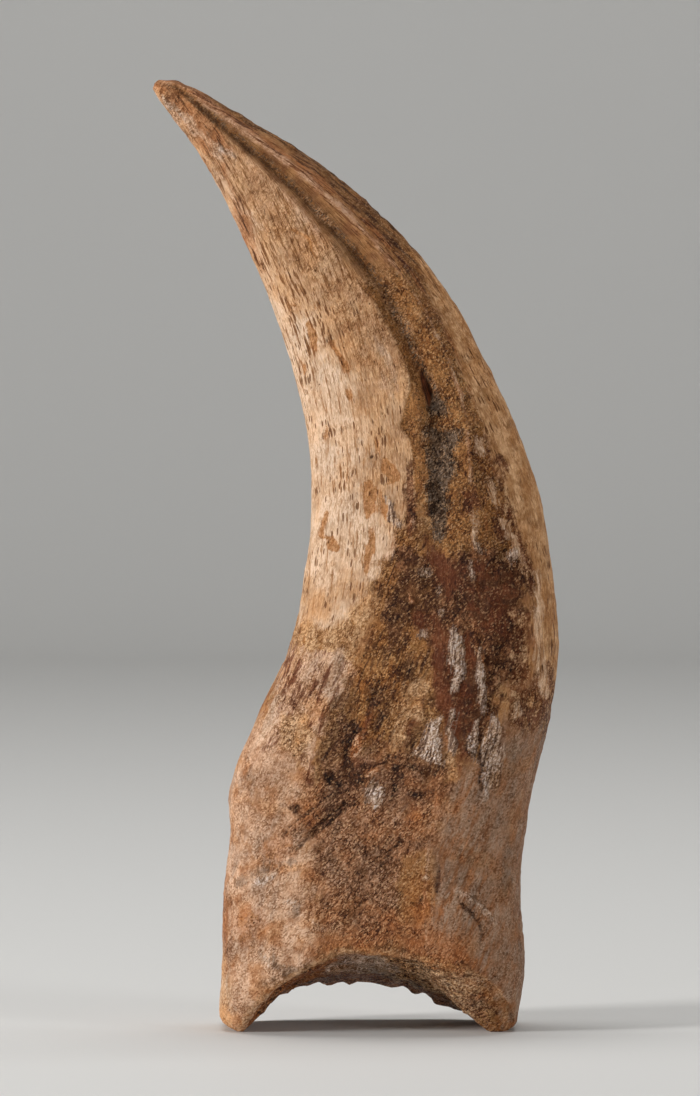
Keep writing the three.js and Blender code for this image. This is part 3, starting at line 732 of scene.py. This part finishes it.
# The nubs that hang from the rear rim. Columns: x, half width.
REAR_NUBS = ((-12, 0.9), (-6.3, 0.7), (-1.5, 0.6), (2, 0.5), (7, 0.6), (12.2, 0.9), (17, 0.5))
NUB_DROP = 0.7  # how far a nub hangs below the rear rim
RIM_CRUMBLE = 0.45  # and how deep the rim is broken between them
RIM_REACH = 1.6  # how far from the rim's line it is worn so
PAD_RISE = 1.5  # height over which the relief comes in above the ground
BROAD_HEIGHT, BROAD_SIZE = 0.15, 8.0  # of the broad lumps
GRIT_HEIGHT, GRIT_SIZE = 1.3, 2.2  # of the lumps of gritty bone, the height for a grit of 1
FIBRE_HEIGHT = 0.06
FIBRE_SIZES = (1.3, 14.0, 6.0)  # across, along and through
FIBRES_WIDTH = 58.0  # past the widest section, which keeps the two sides' fibres apart
CHANGE_OVER = 0.22  # half width, across the section, of the strip where one side gives way


def fine_relief(surface, fields):
    """Height added along the normal, and the grit, which is how rough the bone is.

    Broad lumps, fibres along the bone, lumps as high as the grit of the stains, and the steps at
    the edges of stains that stand up or lie low.
    """
    grit, steps = BASE_GRIT, 0.0
    for one in STAINS:
        field = fields[one.name]
        if one.grit is not None:
            cover = one.strength * ease(field, -one.edge - 0.3, one.edge + 0.3)
            grit = grit + (one.grit - grit) * cover
        steps = steps + one.lift * ease(field, -0.4, 0.4)
    points = surface.points
    height = BROAD_HEIGHT * rough_lumps(points, BROAD_SIZE, 11, 2)
    height += GRIT_HEIGHT * grit * rough_lumps(points, GRIT_SIZE, 21)
    height += FIBRE_HEIGHT * rough_lumps(surface.grain / np.array(FIBRE_SIZES), 1.0, 31, 2)
    return height + steps, grit


def grain_places(surface):
    """Coordinates that run with the fibres of the bone: distance across them, distance along the
    claw, and depth through it. On the palm side the fibres keep their distance from the palm edge,
    on the back side from the back edge, and they change over at the groove."""
    line = surface.across - surface.groove / surface.half_width
    from_palm = (1 + surface.across) * surface.half_width
    from_back = FIBRES_WIDTH - (1 - surface.across) * surface.half_width
    share = ease(surface.across - line, -CHANGE_OVER, CHANGE_OVER)
    lateral = from_palm + (from_back - from_palm) * share
    return np.stack((lateral, surface.along, surface.points[..., 1]), axis=-1)


def carved_points(surface, height, strength):
    """The grid moved along its normals by the relief. A normal is the cross product of the grid's
    directions round and along the claw. The pads that touch the ground stay flat."""
    points = surface.points
    around = np.roll(points, -1, axis=1) - np.roll(points, 1, axis=1)
    normal = np.cross(around, np.gradient(points, axis=0))
    normal /= np.maximum(np.linalg.norm(normal, axis=-1, keepdims=True), 1e-9)
    height = height * strength * ease(points[..., 2], 0.0, PAD_RISE)
    carved = points + normal * height[..., None]
    drop = RIM_CRUMBLE * rough_lumps(points, 1.6, 41, 2)
    for x, reach in REAR_NUBS:
        drop += NUB_DROP * bell(points[..., 0] - x, reach)
    carved[..., 2] -= drop * strength * bell(surface.joint + RIM_REAR, RIM_REACH) * (points[..., 1] > 3)
    carved[..., 2] = np.maximum(carved[..., 2], 0)
    return carved


def grid_faces(rows, columns):
    """Quads between neighbouring rows, closed round the columns, and a fan of triangles to the
    point at each end. The first end point comes before the grid and the last one after it."""
    column = np.arange(columns)
    pair = np.stack((column, (column + 1) % columns))
    first = 1 + columns * np.arange(rows - 1)[:, None]
    low, high = first + pair[:, None], first + columns + pair[:, None]
    quads = np.stack((low[0], low[1], high[1], high[0]), -1).reshape(-1, 4)
    start = np.stack((0 * column, 1 + pair[1], 1 + pair[0]), -1)
    end = np.stack((high[0, -1], high[1, -1], 0 * column + 1 + rows * columns), -1)
    return start.tolist() + quads.tolist() + end.tolist()


def with_ends(values, first=None, last=None):
    """The grid's values as rows, with those of the two end points before and after them. An end
    point takes the mean of the row beside it where it has no value of its own."""
    values = values.reshape(*values.shape[:2], -1)
    first = values[0].mean(axis=0) if first is None else first
    last = values[-1].mean(axis=0) if last is None else last
    return np.vstack((first, values.reshape(-1, values.shape[2]), last))


def build_claw_mesh(relief):
    """The claw as one closed mesh, with its stains, grit and grain as attributes."""
    surface = claw_surface()
    surface.grain = grain_places(surface)
    fields = stain_fields(surface)
    height, grit = fine_relief(surface, fields)
    carved = carved_points(surface, height, relief)
    joint_middle = carved[0].mean(axis=0)
    joint_middle[2] = (joint_middle[2] + joint_height(*np.array(JOINT_CENTRE))) / 2
    vertices = with_ends(carved, joint_middle, surface.tip)

    mesh = bpy.data.meshes.new("fossil_claw")
    mesh.from_pydata((vertices * MM).tolist(), [], grid_faces(*grit.shape))
    for name, values in {**fields, "grit": grit, "grain": surface.grain}.items():
        kind, field = ("FLOAT_VECTOR", "vector") if values.ndim == 3 else ("FLOAT", "value")
        attribute = mesh.attributes.new(name, kind, "POINT")
        attribute.data.foreach_set(field, with_ends(values).astype(np.float32).ravel())
    mesh.shade_smooth()
    mesh.validate()
    return mesh


# ---- Material ----

SLANT = 43.0  # degrees from level at which the torn fibres of the base climb
FLOW = 66.0  # and those above them, below the blade
WARM_TINT = (1.0, 0.84, 0.64, 1.0)
COOL_TINT = (0.76, 0.8, 0.86, 1.0)
UPTAKE = (0.75, 1.0, 1.3)  # how strongly dark bone takes away red, green and blue
BLADE = (62, 92, 195, 222)  # along: the blade's smooth bone begins over these and fades over those
# How much the parts of the grain deepen the colour.
GRAIN_DEPTH = 1.5
ROUGH_GRAIN_DEPTH = 3.0
FIBRE_DEPTH = 0.3
# The crumbs' depth darkens the low parts of their relief and lightens the high parts: painted shade and
# painted light.
CRUMB_SHADE_DEPTH = 2.0
CLOUD_DEPTH = 1.2
DASH_DEPTH = 1.5
PIT_DEPTH = 1.4
CRACK_DEPTH = 1.6
LINE_DEPTH = 1.2
LIGHTEST = -0.2  # the density of the palest grain of smooth bone
ROUGH_LIGHTEST = -0.75  # and of gritty bone
DARKEST = 2.8  # the density of the darkest crumbs of gritty bone
SMOOTH_DARKEST = 1.35  # and of the slits in smooth bone
# The pale grains are partly bright mineral grains and partly painted glints, pale specks standing in for
# the sparkle of light on them.
GLINT = 0.45  # how much the few bright mineral grains in gritty bone cover


class Value:
    """A number, colour or place that nodes work out. Sums of values add the nodes for them."""

    def __init__(self, mixer, socket):
        self.mixer, self.socket = mixer, socket

    def __add__(self, other):
        return self.mixer.math("ADD", self, other)

    def __sub__(self, other):
        return self.mixer.math("SUBTRACT", self, other)

    def __rsub__(self, other):
        return self.mixer.math("SUBTRACT", other, self)

    def __mul__(self, other):
        return self.mixer.math("MULTIPLY", self, other)


class Mixer:
    """Short calls that lay out a material's nodes, fed with numbers, colours and values."""

    def __init__(self, name):
        self.material = bpy.data.materials.new(name)
        self.material.use_nodes = True
        self.tree = self.material.node_tree
        self.tree.nodes.clear()

    def node(self, kind, sockets, output=0, **settings):
        """Adds a node with its settings, feeds its sockets and gives one of its outputs."""
        made = self.tree.nodes.new(kind)
        for name, value in settings.items():
            setattr(made, name, value)
        for name, value in sockets.items():
            if isinstance(value, Value):
                self.tree.links.new(value.socket, made.inputs[name])
            else:
                made.inputs[name].default_value = value
        return Value(self, made.outputs[output]) if made.outputs else None

    def math(self, operation, *terms):
        """The result of one sum."""
        return self.node("ShaderNodeMath", dict(enumerate(terms)), operation=operation)

    def ease(self, value, low, high, start=0.0, end=1.0):
        """start below low and end above high, with a smooth step between."""
        sockets = dict(enumerate((value, low, high, start, end)))
        return self.node("ShaderNodeMapRange", sockets, interpolation_type="SMOOTHSTEP")

    def between(self, share, first, second):
        """A mix of two numbers."""
        return self.node("ShaderNodeMix", {0: share, 2: first, 3: second})

    def blend(self, share, first, second, blend_type="MIX"):
        """A mix of two colours."""
        sockets = {0: share, 6: first, 7: second}
        return self.node("ShaderNodeMix", sockets, 2, data_type="RGBA", blend_type=blend_type)

    def scaled(self, places, sizes):
        """Coordinates in cells of the given sizes."""
        sockets = {0: places, 1: tuple(1 / size for size in sizes)}
        return self.node("ShaderNodeVectorMath", sockets, operation="MULTIPLY")

    def slanted(self, places, degrees):
        """Coordinates turned so that the first one climbs to +X by so many degrees from level."""
        turn = (0, math.radians(degrees), 0)
        return self.node("ShaderNodeMapping", {"Vector": places, "Rotation": turn})

    def sized(self, places, size):
        """The sockets of a texture with features of one size, or of three across the axes."""
        if isinstance(size, tuple):
            return {"Vector": self.scaled(places, size), "Scale": 1}
        return {"Vector": places, "Scale": 1 / size}

    def noise(self, places, size, detail=3, roughness=0.6, distortion=0, output=0):
        """Noise about 0.5 with lumps of about size. Output 1 is three such numbers."""
        sockets = {"Detail": detail, "Roughness": roughness, "Distortion": distortion}
        return self.node("ShaderNodeTexNoise", sockets | self.sized(places, size), output)

    def cells(self, places, size):
        """Distance from the nearest of many scattered points, in cells of size, and a random number
        of that point."""
        distance = self.node("ShaderNodeTexVoronoi", self.sized(places, size))
        return distance, Value(self, distance.socket.node.outputs["Color"])

    def attribute(self, name, output="Fac"):
        """A value kept on the mesh."""
        return self.node("ShaderNodeAttribute", {}, output, attribute_name=name)

    def finish(self, sockets):
        """The material, with a surface of these sockets."""
        shader = self.node("ShaderNodeBsdfPrincipled", sockets)
        self.node("ShaderNodeOutputMaterial", {"Surface": shader})
        return self.material


def lay_stains(mix, palette, patterns):
    """The colour, a base covered by each stain in turn, and the height of the crisp steps at the
    stains' edges."""
    fray = (patterns["specks"] + patterns["crumbs"]) * 0.5 + patterns["strands"] - 1.0
    colour = mix.blend(mix.ease(patterns["mottle"], 0.38, 0.66), palette["sand"], palette["clay"])
    height = 0.0
    for one in STAINS:
        ragged = mix.math("MULTIPLY_ADD", fray, one.fray, mix.attribute(one.name))
        cover = mix.ease(ragged, -one.edge, one.edge, 0.0, one.strength)
        share = mix.ease(patterns[one.pattern], one.level - one.spread, one.level + one.spread)
        colour = mix.blend(cover, colour, palette[one.ground])
        colour = mix.blend(cover * share, colour, palette[one.fleck])
        if one.lift and one.edge < 0.5:
            height = mix.math("MULTIPLY_ADD", cover, one.lift / 2, height)
    return colour, height


def bone_material(palette, gloss):
    """Old stained bone: the stains, dark slits along the fibres, pores and a fine grain. The crumbled
    relief's colour carries painted shade in its hollows and painted light on its tops, and pale grains
    carry painted glints.
    """
    mix = Mixer("fossil_bone")
    places = mix.scaled(mix.node("ShaderNodeTexCoord", {}, "Object"), (MM, MM, MM))
    grain, grit = mix.attribute("grain", "Vector"), mix.attribute("grit")
    slant, flow = mix.slanted(places, SLANT), mix.slanted(places, FLOW)
    strands = mix.noise(grain, (0.55, 6.0, 1.4), 4, 0.65, 0.2)
    patterns = {
        "strands": strands,
        "mottle": mix.noise(places, 3.2, 5, 0.65),
        "specks": mix.noise(places, 0.5, 2, 0.7),
        "crumbs": mix.noise(places, 1.6, 5, 0.75),
        "slant": mix.noise(slant, (4.5, 2.0, 0.6), 4, 0.65, 0.3),
        "flow": mix.noise(flow, (6.0, 2.5, 1.1), 4, 0.65, 0.3),
    }
    colour, steps = lay_stains(mix, palette, patterns)

    # Warmer and cooler parts, broad in the base and faint in the blade.
    along = mix.node("ShaderNodeSeparateXYZ", {0: grain}, 1)
    blade = mix.ease(along, BLADE[0], BLADE[1]) * mix.ease(along, BLADE[3], BLADE[2])
    warm = mix.ease(mix.noise(places, 6.5), 0.46, 0.64)
    cool = mix.ease(mix.noise(flow, (11.0, 5.0, 4.5)), 0.47, 0.66)
    tinted = 0.9 - blade * 0.5
    colour = mix.blend(warm * tinted, colour, WARM_TINT, "MULTIPLY")
    colour = mix.blend(cool * tinted, colour, COOL_TINT, "MULTIPLY")

    # The grain of the bone, each part a number about 0.5: fibres in smooth bone, crumbs in gritty
    # bone, torn fibres in place of them in the hollow above the joint, and clouds.
    rough = mix.ease(grit, 0.06, 0.3)
    fibrous = (1.0 - rough * 0.85) * blade
    fibres = mix.noise(grain, (0.6, 5.0, 1.2), 3, 0.7)
    crumb = mix.noise(slant, (2.6, 1.3, 0.8), 5, 0.72)
    torn = mix.noise(slant, (5.0, 1.6, 0.5), 4, 0.55, 0.2)
    torn_depth = mix.math("MAXIMUM", mix.attribute("low_middle"), mix.attribute("hollow_shade"))
    crumb = mix.between(mix.ease(torn_depth, -1.5, 1.5), crumb, torn)
    patchy = mix.ease(mix.noise(places, 3.6), 0.36, 0.6, 0.45, 1.25)
    clouds = mix.noise(places, 5.0, 4)

    # Grains: small cells, each with a shade of its own, long with the fibres in smooth bone and
    # shorter and slanting in gritty bone.
    bend = mix.noise(places, 2.0, 1, 0.5, 0, 1)
    sockets = {0: bend, 1: (0.5, 0.9, 0.5), 2: grain}
    bent_grain = mix.node("ShaderNodeVectorMath", sockets, operation="MULTIPLY_ADD")
    long_gap, long_shade = mix.cells(bent_grain, (0.24, 0.8, 0.3))
    short_gap, short_shade = mix.cells(slant, (0.44, 0.3, 0.26))
    shade = mix.between(1.0 - fibrous, long_shade, short_shade)
    bulge = mix.between(1.0 - fibrous, long_gap, short_gap)

    # Dashes: short slits along the fibres, in clumps. Pits: small holes, most in gritty bone.
    distance, chance = mix.cells(bent_grain, (0.44, 2.8, 0.6))
    clump = mix.ease(mix.noise(grain, (4.0, 10.0, 8.0), 2, 0.5), 0.42, 0.6, 0.15, 1.1)
    reach = (chance - 0.33) * clump * fibrous * mix.ease(along, 190.0, 165.0)
    dashes = mix.ease(distance - reach, -0.02, 0.03, 1.0, 0.0)
    distance, chance = mix.cells(places, 1.05)
    pits = mix.ease(distance - (chance - 0.82 + grit * 0.9) * 0.6, -0.06, 0.07, 1.0, 0.0)

    # Dark bone takes up more stain: every channel is weighed by e to the minus density * uptake.
    grain_depth = (rough * (ROUGH_GRAIN_DEPTH - GRAIN_DEPTH) + GRAIN_DEPTH) * patchy
    density = (0.5 - shade) * grain_depth * (1.0 - fibrous * 0.4)
    density += (0.5 - fibres) * fibrous * FIBRE_DEPTH
    # The crumbs' colour follows their relief: darker where it is low and paler where it is high, painted
    # shade in its hollows and painted light on its tops.
    density += (0.5 - crumb) * (rough * 0.8 + 0.2) * CRUMB_SHADE_DEPTH
    density += (0.5 - clouds) * CLOUD_DEPTH
    density = mix.math("MAXIMUM", density, rough * (ROUGH_LIGHTEST - LIGHTEST) + LIGHTEST)
    density += dashes * DASH_DEPTH
    density = mix.math("MINIMUM", density, fibrous * (SMOOTH_DARKEST - DARKEST) + DARKEST)
    density += pits * PIT_DEPTH
    lines = fibrous * mix.ease(along, 135.0, 165.0, 0.15, LINE_DEPTH)
    density += mix.ease(strands, 0.52, 0.6) * lines
    veins = mix.math("ABSOLUTE", mix.noise(flow, (4.5, 1.8, 1.5), 3, 0.6, 0.4) - 0.5)
    cracks = mix.ease(veins, 0.028, 0.01) * rough * mix.ease(clouds, 0.57, 0.5)
    density += cracks * CRACK_DEPTH
    channels = {}
    for index, uptake in enumerate(UPTAKE):
        channels[index] = mix.math("EXPONENT", density * -uptake)
    shades = mix.node("ShaderNodeCombineColor", channels)
    colour = mix.blend(1.0, colour, shades, "MULTIPLY")
    # Painted glints: a few grains in gritty bone turned pale, in place of the sparkle of light on them.
    glint = mix.ease(short_shade, 0.74, 0.8, 0.0, GLINT) * rough * patchy
    colour = mix.blend(glint, colour, palette["bone"])

    # Height in millimetres, for the relief that is finer than the mesh.
    height = crumb * (grit * 6.0 - 0.3) * patchy + steps
    height -= bulge * (rough * 0.24 + 0.06)
    height += (fibres * 0.4 + strands * 0.2) * fibrous
    height -= dashes * 0.3 + pits * 0.45
    bump = mix.node("ShaderNodeBump", {"Strength": 1.0, "Distance": MM, "Height": height})

    # The palest grains are worn smoother than the rest.
    roughness = mix.ease(shade, 0.5, 0.8, gloss + 0.2, gloss)
    return mix.finish({
        "Base Color": colour, "Roughness": roughness, "Normal": bump, "IOR": 1.5,
        "Specular IOR Level": 0.16,
    })


# ---- Studio ----

CAMERA_DISTANCE = 1400.0
CAMERA_ELEVATION = 2.0  # degrees above level
CAMERA_TARGET = (-1.0, 0.0, 101.5)
VIEW_HEIGHT = 231.1  # height of what the camera sees at the target
SENSOR_HEIGHT = 24.0
VIEW_DEPTH = 20.0  # how far the camera sees, in metres
FLOOR_FRONT = -2200.0
FLOOR_REAR = 1500.0
SWEEP_RADIUS = 500.0
BACKDROP_HEIGHT = 2200.0
FLOOR_WIDTH = 5000.0
SWEEP_POINTS = 24

# Soft lights. Columns: name, place, width and height, and the setting that holds the power.
LIGHTS = (
    ("key_light", (-1320, -540, 460), (280, 520), "key_power"),
    ("fill_light", (1150, -760, 350), (400, 600), "fill_power"),
    ("top_light", (-100, -200, 1300), (900, 700), "top_power"),
    ("low_light", (-250, -1300, 70), (500, 60), "low_power"),
    ("backdrop_light", (0, 300, 1900), (1800, 600), "backdrop_power"),
)
LIGHT_TARGET = (0.0, 0.0, 100.0)


def backdrop_mesh():
    """Floor and backdrop in one sweep: level, then a quarter circle, then upright."""
    bend = np.linspace(0, np.pi / 2, SWEEP_POINTS)
    y = (FLOOR_FRONT, *(FLOOR_REAR + SWEEP_RADIUS * np.sin(bend)), FLOOR_REAR + SWEEP_RADIUS)
    z = (0.0, *(SWEEP_RADIUS * (1 - np.cos(bend))), BACKDROP_HEIGHT)
    sides = np.array((-FLOOR_WIDTH / 2, FLOOR_WIDTH / 2))
    vertices = np.stack((np.tile(sides, len(y)), np.repeat(y, 2), np.repeat(z, 2)), axis=-1)
    first = 2 * np.arange(len(y) - 1)
    faces = np.stack((first, first + 1, first + 3, first + 2), axis=-1)
    mesh = bpy.data.meshes.new("backdrop")
    mesh.from_pydata((vertices * MM).tolist(), [], faces.tolist())
    mesh.shade_smooth()
    return mesh


def add_aimed(name, data, place, target):
    """Adds a light or camera at a place, turned to a target."""
    thing = bpy.data.objects.new(name, data)
    bpy.context.scene.collection.objects.link(thing)
    thing.location = Vector(place) * MM
    thing.rotation_euler = (Vector(target) - Vector(place)).to_track_quat("-Z", "Y").to_euler()
    return thing


def add_light(name, place, size, power):
    """A soft rectangular light."""
    lamp = bpy.data.lights.new(name, "AREA")
    lamp.shape = "RECTANGLE"
    lamp.size, lamp.size_y = size[0] * MM, size[1] * MM
    lamp.energy = power
    add_aimed(name, lamp, place, LIGHT_TARGET)


def add_camera():
    """A long lens, level with the claw and a little above it."""
    lens = bpy.data.cameras.new("camera")
    lens.sensor_fit = "VERTICAL"
    lens.sensor_height = SENSOR_HEIGHT
    lens.lens = SENSOR_HEIGHT * CAMERA_DISTANCE / VIEW_HEIGHT
    lens.clip_end = VIEW_DEPTH
    tilt = math.radians(CAMERA_ELEVATION)
    back = Vector((0, -math.cos(tilt), math.sin(tilt))) * CAMERA_DISTANCE
    place = Vector(CAMERA_TARGET) + back
    bpy.context.scene.camera = add_aimed("camera", lens, place, CAMERA_TARGET)


# ---- The add-on ----


def paint(name, description, red, green, blue):
    """A colour setting. A part from 0 to 255 is kept as the linear share that shaders take."""
    parts = np.array((red, green, blue)) / 255
    linear = np.where(parts <= 0.04045, parts / 12.92, ((parts + 0.055) / 1.055) ** 2.4)
    return FloatVectorProperty(
        name=name, description=description, subtype="COLOR", size=3, min=0, max=1,
        default=linear.tolist(),
    )


def power(name, side, default):
    """The setting of a light's power."""
    description = "Power of the light " + side
    return FloatProperty(name=name, description=description, default=default, min=0, subtype="POWER")


class FossilPigments(bpy.types.PropertyGroup):
    """The colours that the stains are made of."""

    ivory: paint("Ivory", "Clean pale bone of the blade", 212, 177, 146)
    bone: paint("Bone", "Duller pale bone", 204, 158, 114)
    rose: paint("Rose", "Pinkish pale bone of the base", 200, 158, 126)
    sand: paint("Sand", "Tan bone", 168, 120, 76)
    ochre: paint("Ochre", "Blotches in the pale blade", 180, 123, 75)
    tawny: paint("Tawny", "Yellow-brown of the blade's back", 156, 105, 58)
    amber: paint("Amber", "Orange-brown staining", 160, 98, 54)
    clay: paint("Clay", "Middle brown", 140, 92, 58)
    olive: paint("Olive", "Dull dark tan", 116, 77, 42)
    mauve: paint("Mauve", "Purplish brown fibres", 158, 112, 80)
    rust: paint("Rust", "Reddish brown", 104, 53, 25)
    umber: paint("Umber", "Dark brown", 78, 42, 19)
    peat: paint("Peat", "Nearly black brown", 40, 23, 13)
    slate: paint("Slate", "Dark grey of the stony filling", 112, 90, 72)
    haze: paint("Haze", "Greyish bloom", 150, 118, 94)
    chalk: paint("Chalk", "White mineral crust", 206, 177, 154)


class FossilClawSettings(bpy.types.PropertyGroup):
    """Sizes and finish of the claw."""

    relief: FloatProperty(
        name="Relief", description="Strength of the bone's fine relief", default=1.0, min=0, max=2
    )
    gloss: FloatProperty(
        name="Roughness", description="Roughness of the glossiest bone", default=0.4, min=0.1,
        max=0.8, subtype="FACTOR",
    )
    pigments: PointerProperty(type=FossilPigments)


class FossilStudioSettings(bpy.types.PropertyGroup):
    """Lights and surroundings."""

    key_power: power("Key", "from the left", 20.0)
    fill_power: power("Fill", "from the right", 6.0)
    top_power: power("Top", "from above", 1.2)
    low_power: power("Low", "into the joint's hollow", 1.1)
    backdrop_power: power("Backdrop", "on the backdrop", 22.0)
    surroundings: FloatProperty(
        name="Surroundings", description="Brightness of the room", default=0.02, min=0, max=1
    )
    floor_colour: paint("Floor", "Colour of the floor and backdrop", 214, 213, 210)


class FOSSIL_OT_add_claw(bpy.types.Operator):
    """Build the claw's bone surface in place of the plain solid"""

    bl_idname = "fossil.add_claw"
    bl_label = "Add Claw"

    def execute(self, context):
        settings = context.scene.fossil_claw
        palette = {}
        for name in FossilPigments.__annotations__:
            palette[name] = (*getattr(settings.pigments, name), 1.0)
        mesh = build_claw_mesh(settings.relief)
        mesh.materials.append(bone_material(palette, settings.gloss))
        claw = bpy.data.objects.new("fossil_claw", mesh)
        context.scene.collection.objects.link(claw)
        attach(claw, "root")
        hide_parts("claw")
        return {"FINISHED"}


class FOSSIL_OT_add_studio(bpy.types.Operator):
    """Set up the floor, the soft lights and the camera"""

    bl_idname = "fossil.add_studio"
    bl_label = "Add Studio"

    def execute(self, context):
        settings = context.scene.fossil_studio
        backdrop = bpy.data.objects.new("backdrop", backdrop_mesh())
        sockets = {"Base Color": (*settings.floor_colour, 1.0), "Roughness": 0.7}
        backdrop.data.materials.append(Mixer("backdrop").finish(sockets))
        context.scene.collection.objects.link(backdrop)
        for name, place, size, setting in LIGHTS:
            add_light(name, place, size, getattr(settings, setting))
        world = bpy.data.worlds.new("studio")
        world.use_nodes = True
        room = world.node_tree.nodes["Background"].inputs
        room["Color"].default_value = (1, 1, 1, 1)
        room["Strength"].default_value = settings.surroundings
        context.scene.world = world
        context.scene.view_settings.view_transform = "Standard"
        add_camera()
        return {"FINISHED"}


class FOSSIL_PT_claw(bpy.types.Panel):
    """The claw's settings and buttons"""

    bl_idname = "FOSSIL_PT_claw"
    bl_label = "Fossil Claw"
    bl_space_type = "VIEW_3D"
    bl_region_type = "UI"
    bl_category = "Fossil Claw"

    def draw(self, context):
        claw, studio = context.scene.fossil_claw, context.scene.fossil_studio
        settings_operators = (
            (claw, FOSSIL_OT_add_claw), (claw.pigments, None), (studio, FOSSIL_OT_add_studio)
        )
        for settings, operator in settings_operators:
            box = self.layout.box()
            for name in type(settings).__annotations__:
                if name != "pigments":
                    box.prop(settings, name)
            if operator:
                box.operator(operator.bl_idname)


CLASSES = (
    FossilPigments, FossilClawSettings, FossilStudioSettings, FOSSIL_OT_add_claw,
    FOSSIL_OT_add_studio, FOSSIL_PT_claw,
)


def register():
    """Adds the classes and the scene's settings."""
    for one in CLASSES:
        bpy.utils.register_class(one)
    bpy.types.Scene.fossil_claw = PointerProperty(type=FossilClawSettings)
    bpy.types.Scene.fossil_studio = PointerProperty(type=FossilStudioSettings)


def unregister():
    """Takes them away again."""
    del bpy.types.Scene.fossil_studio
    del bpy.types.Scene.fossil_claw
    for one in reversed(CLASSES):
        bpy.utils.unregister_class(one)


def main():
    """Builds the studio and the claw in order."""
    register()
    bpy.ops.fossil.add_studio()
    bpy.ops.fossil.add_claw()


if __name__ == "__main__":
    main()
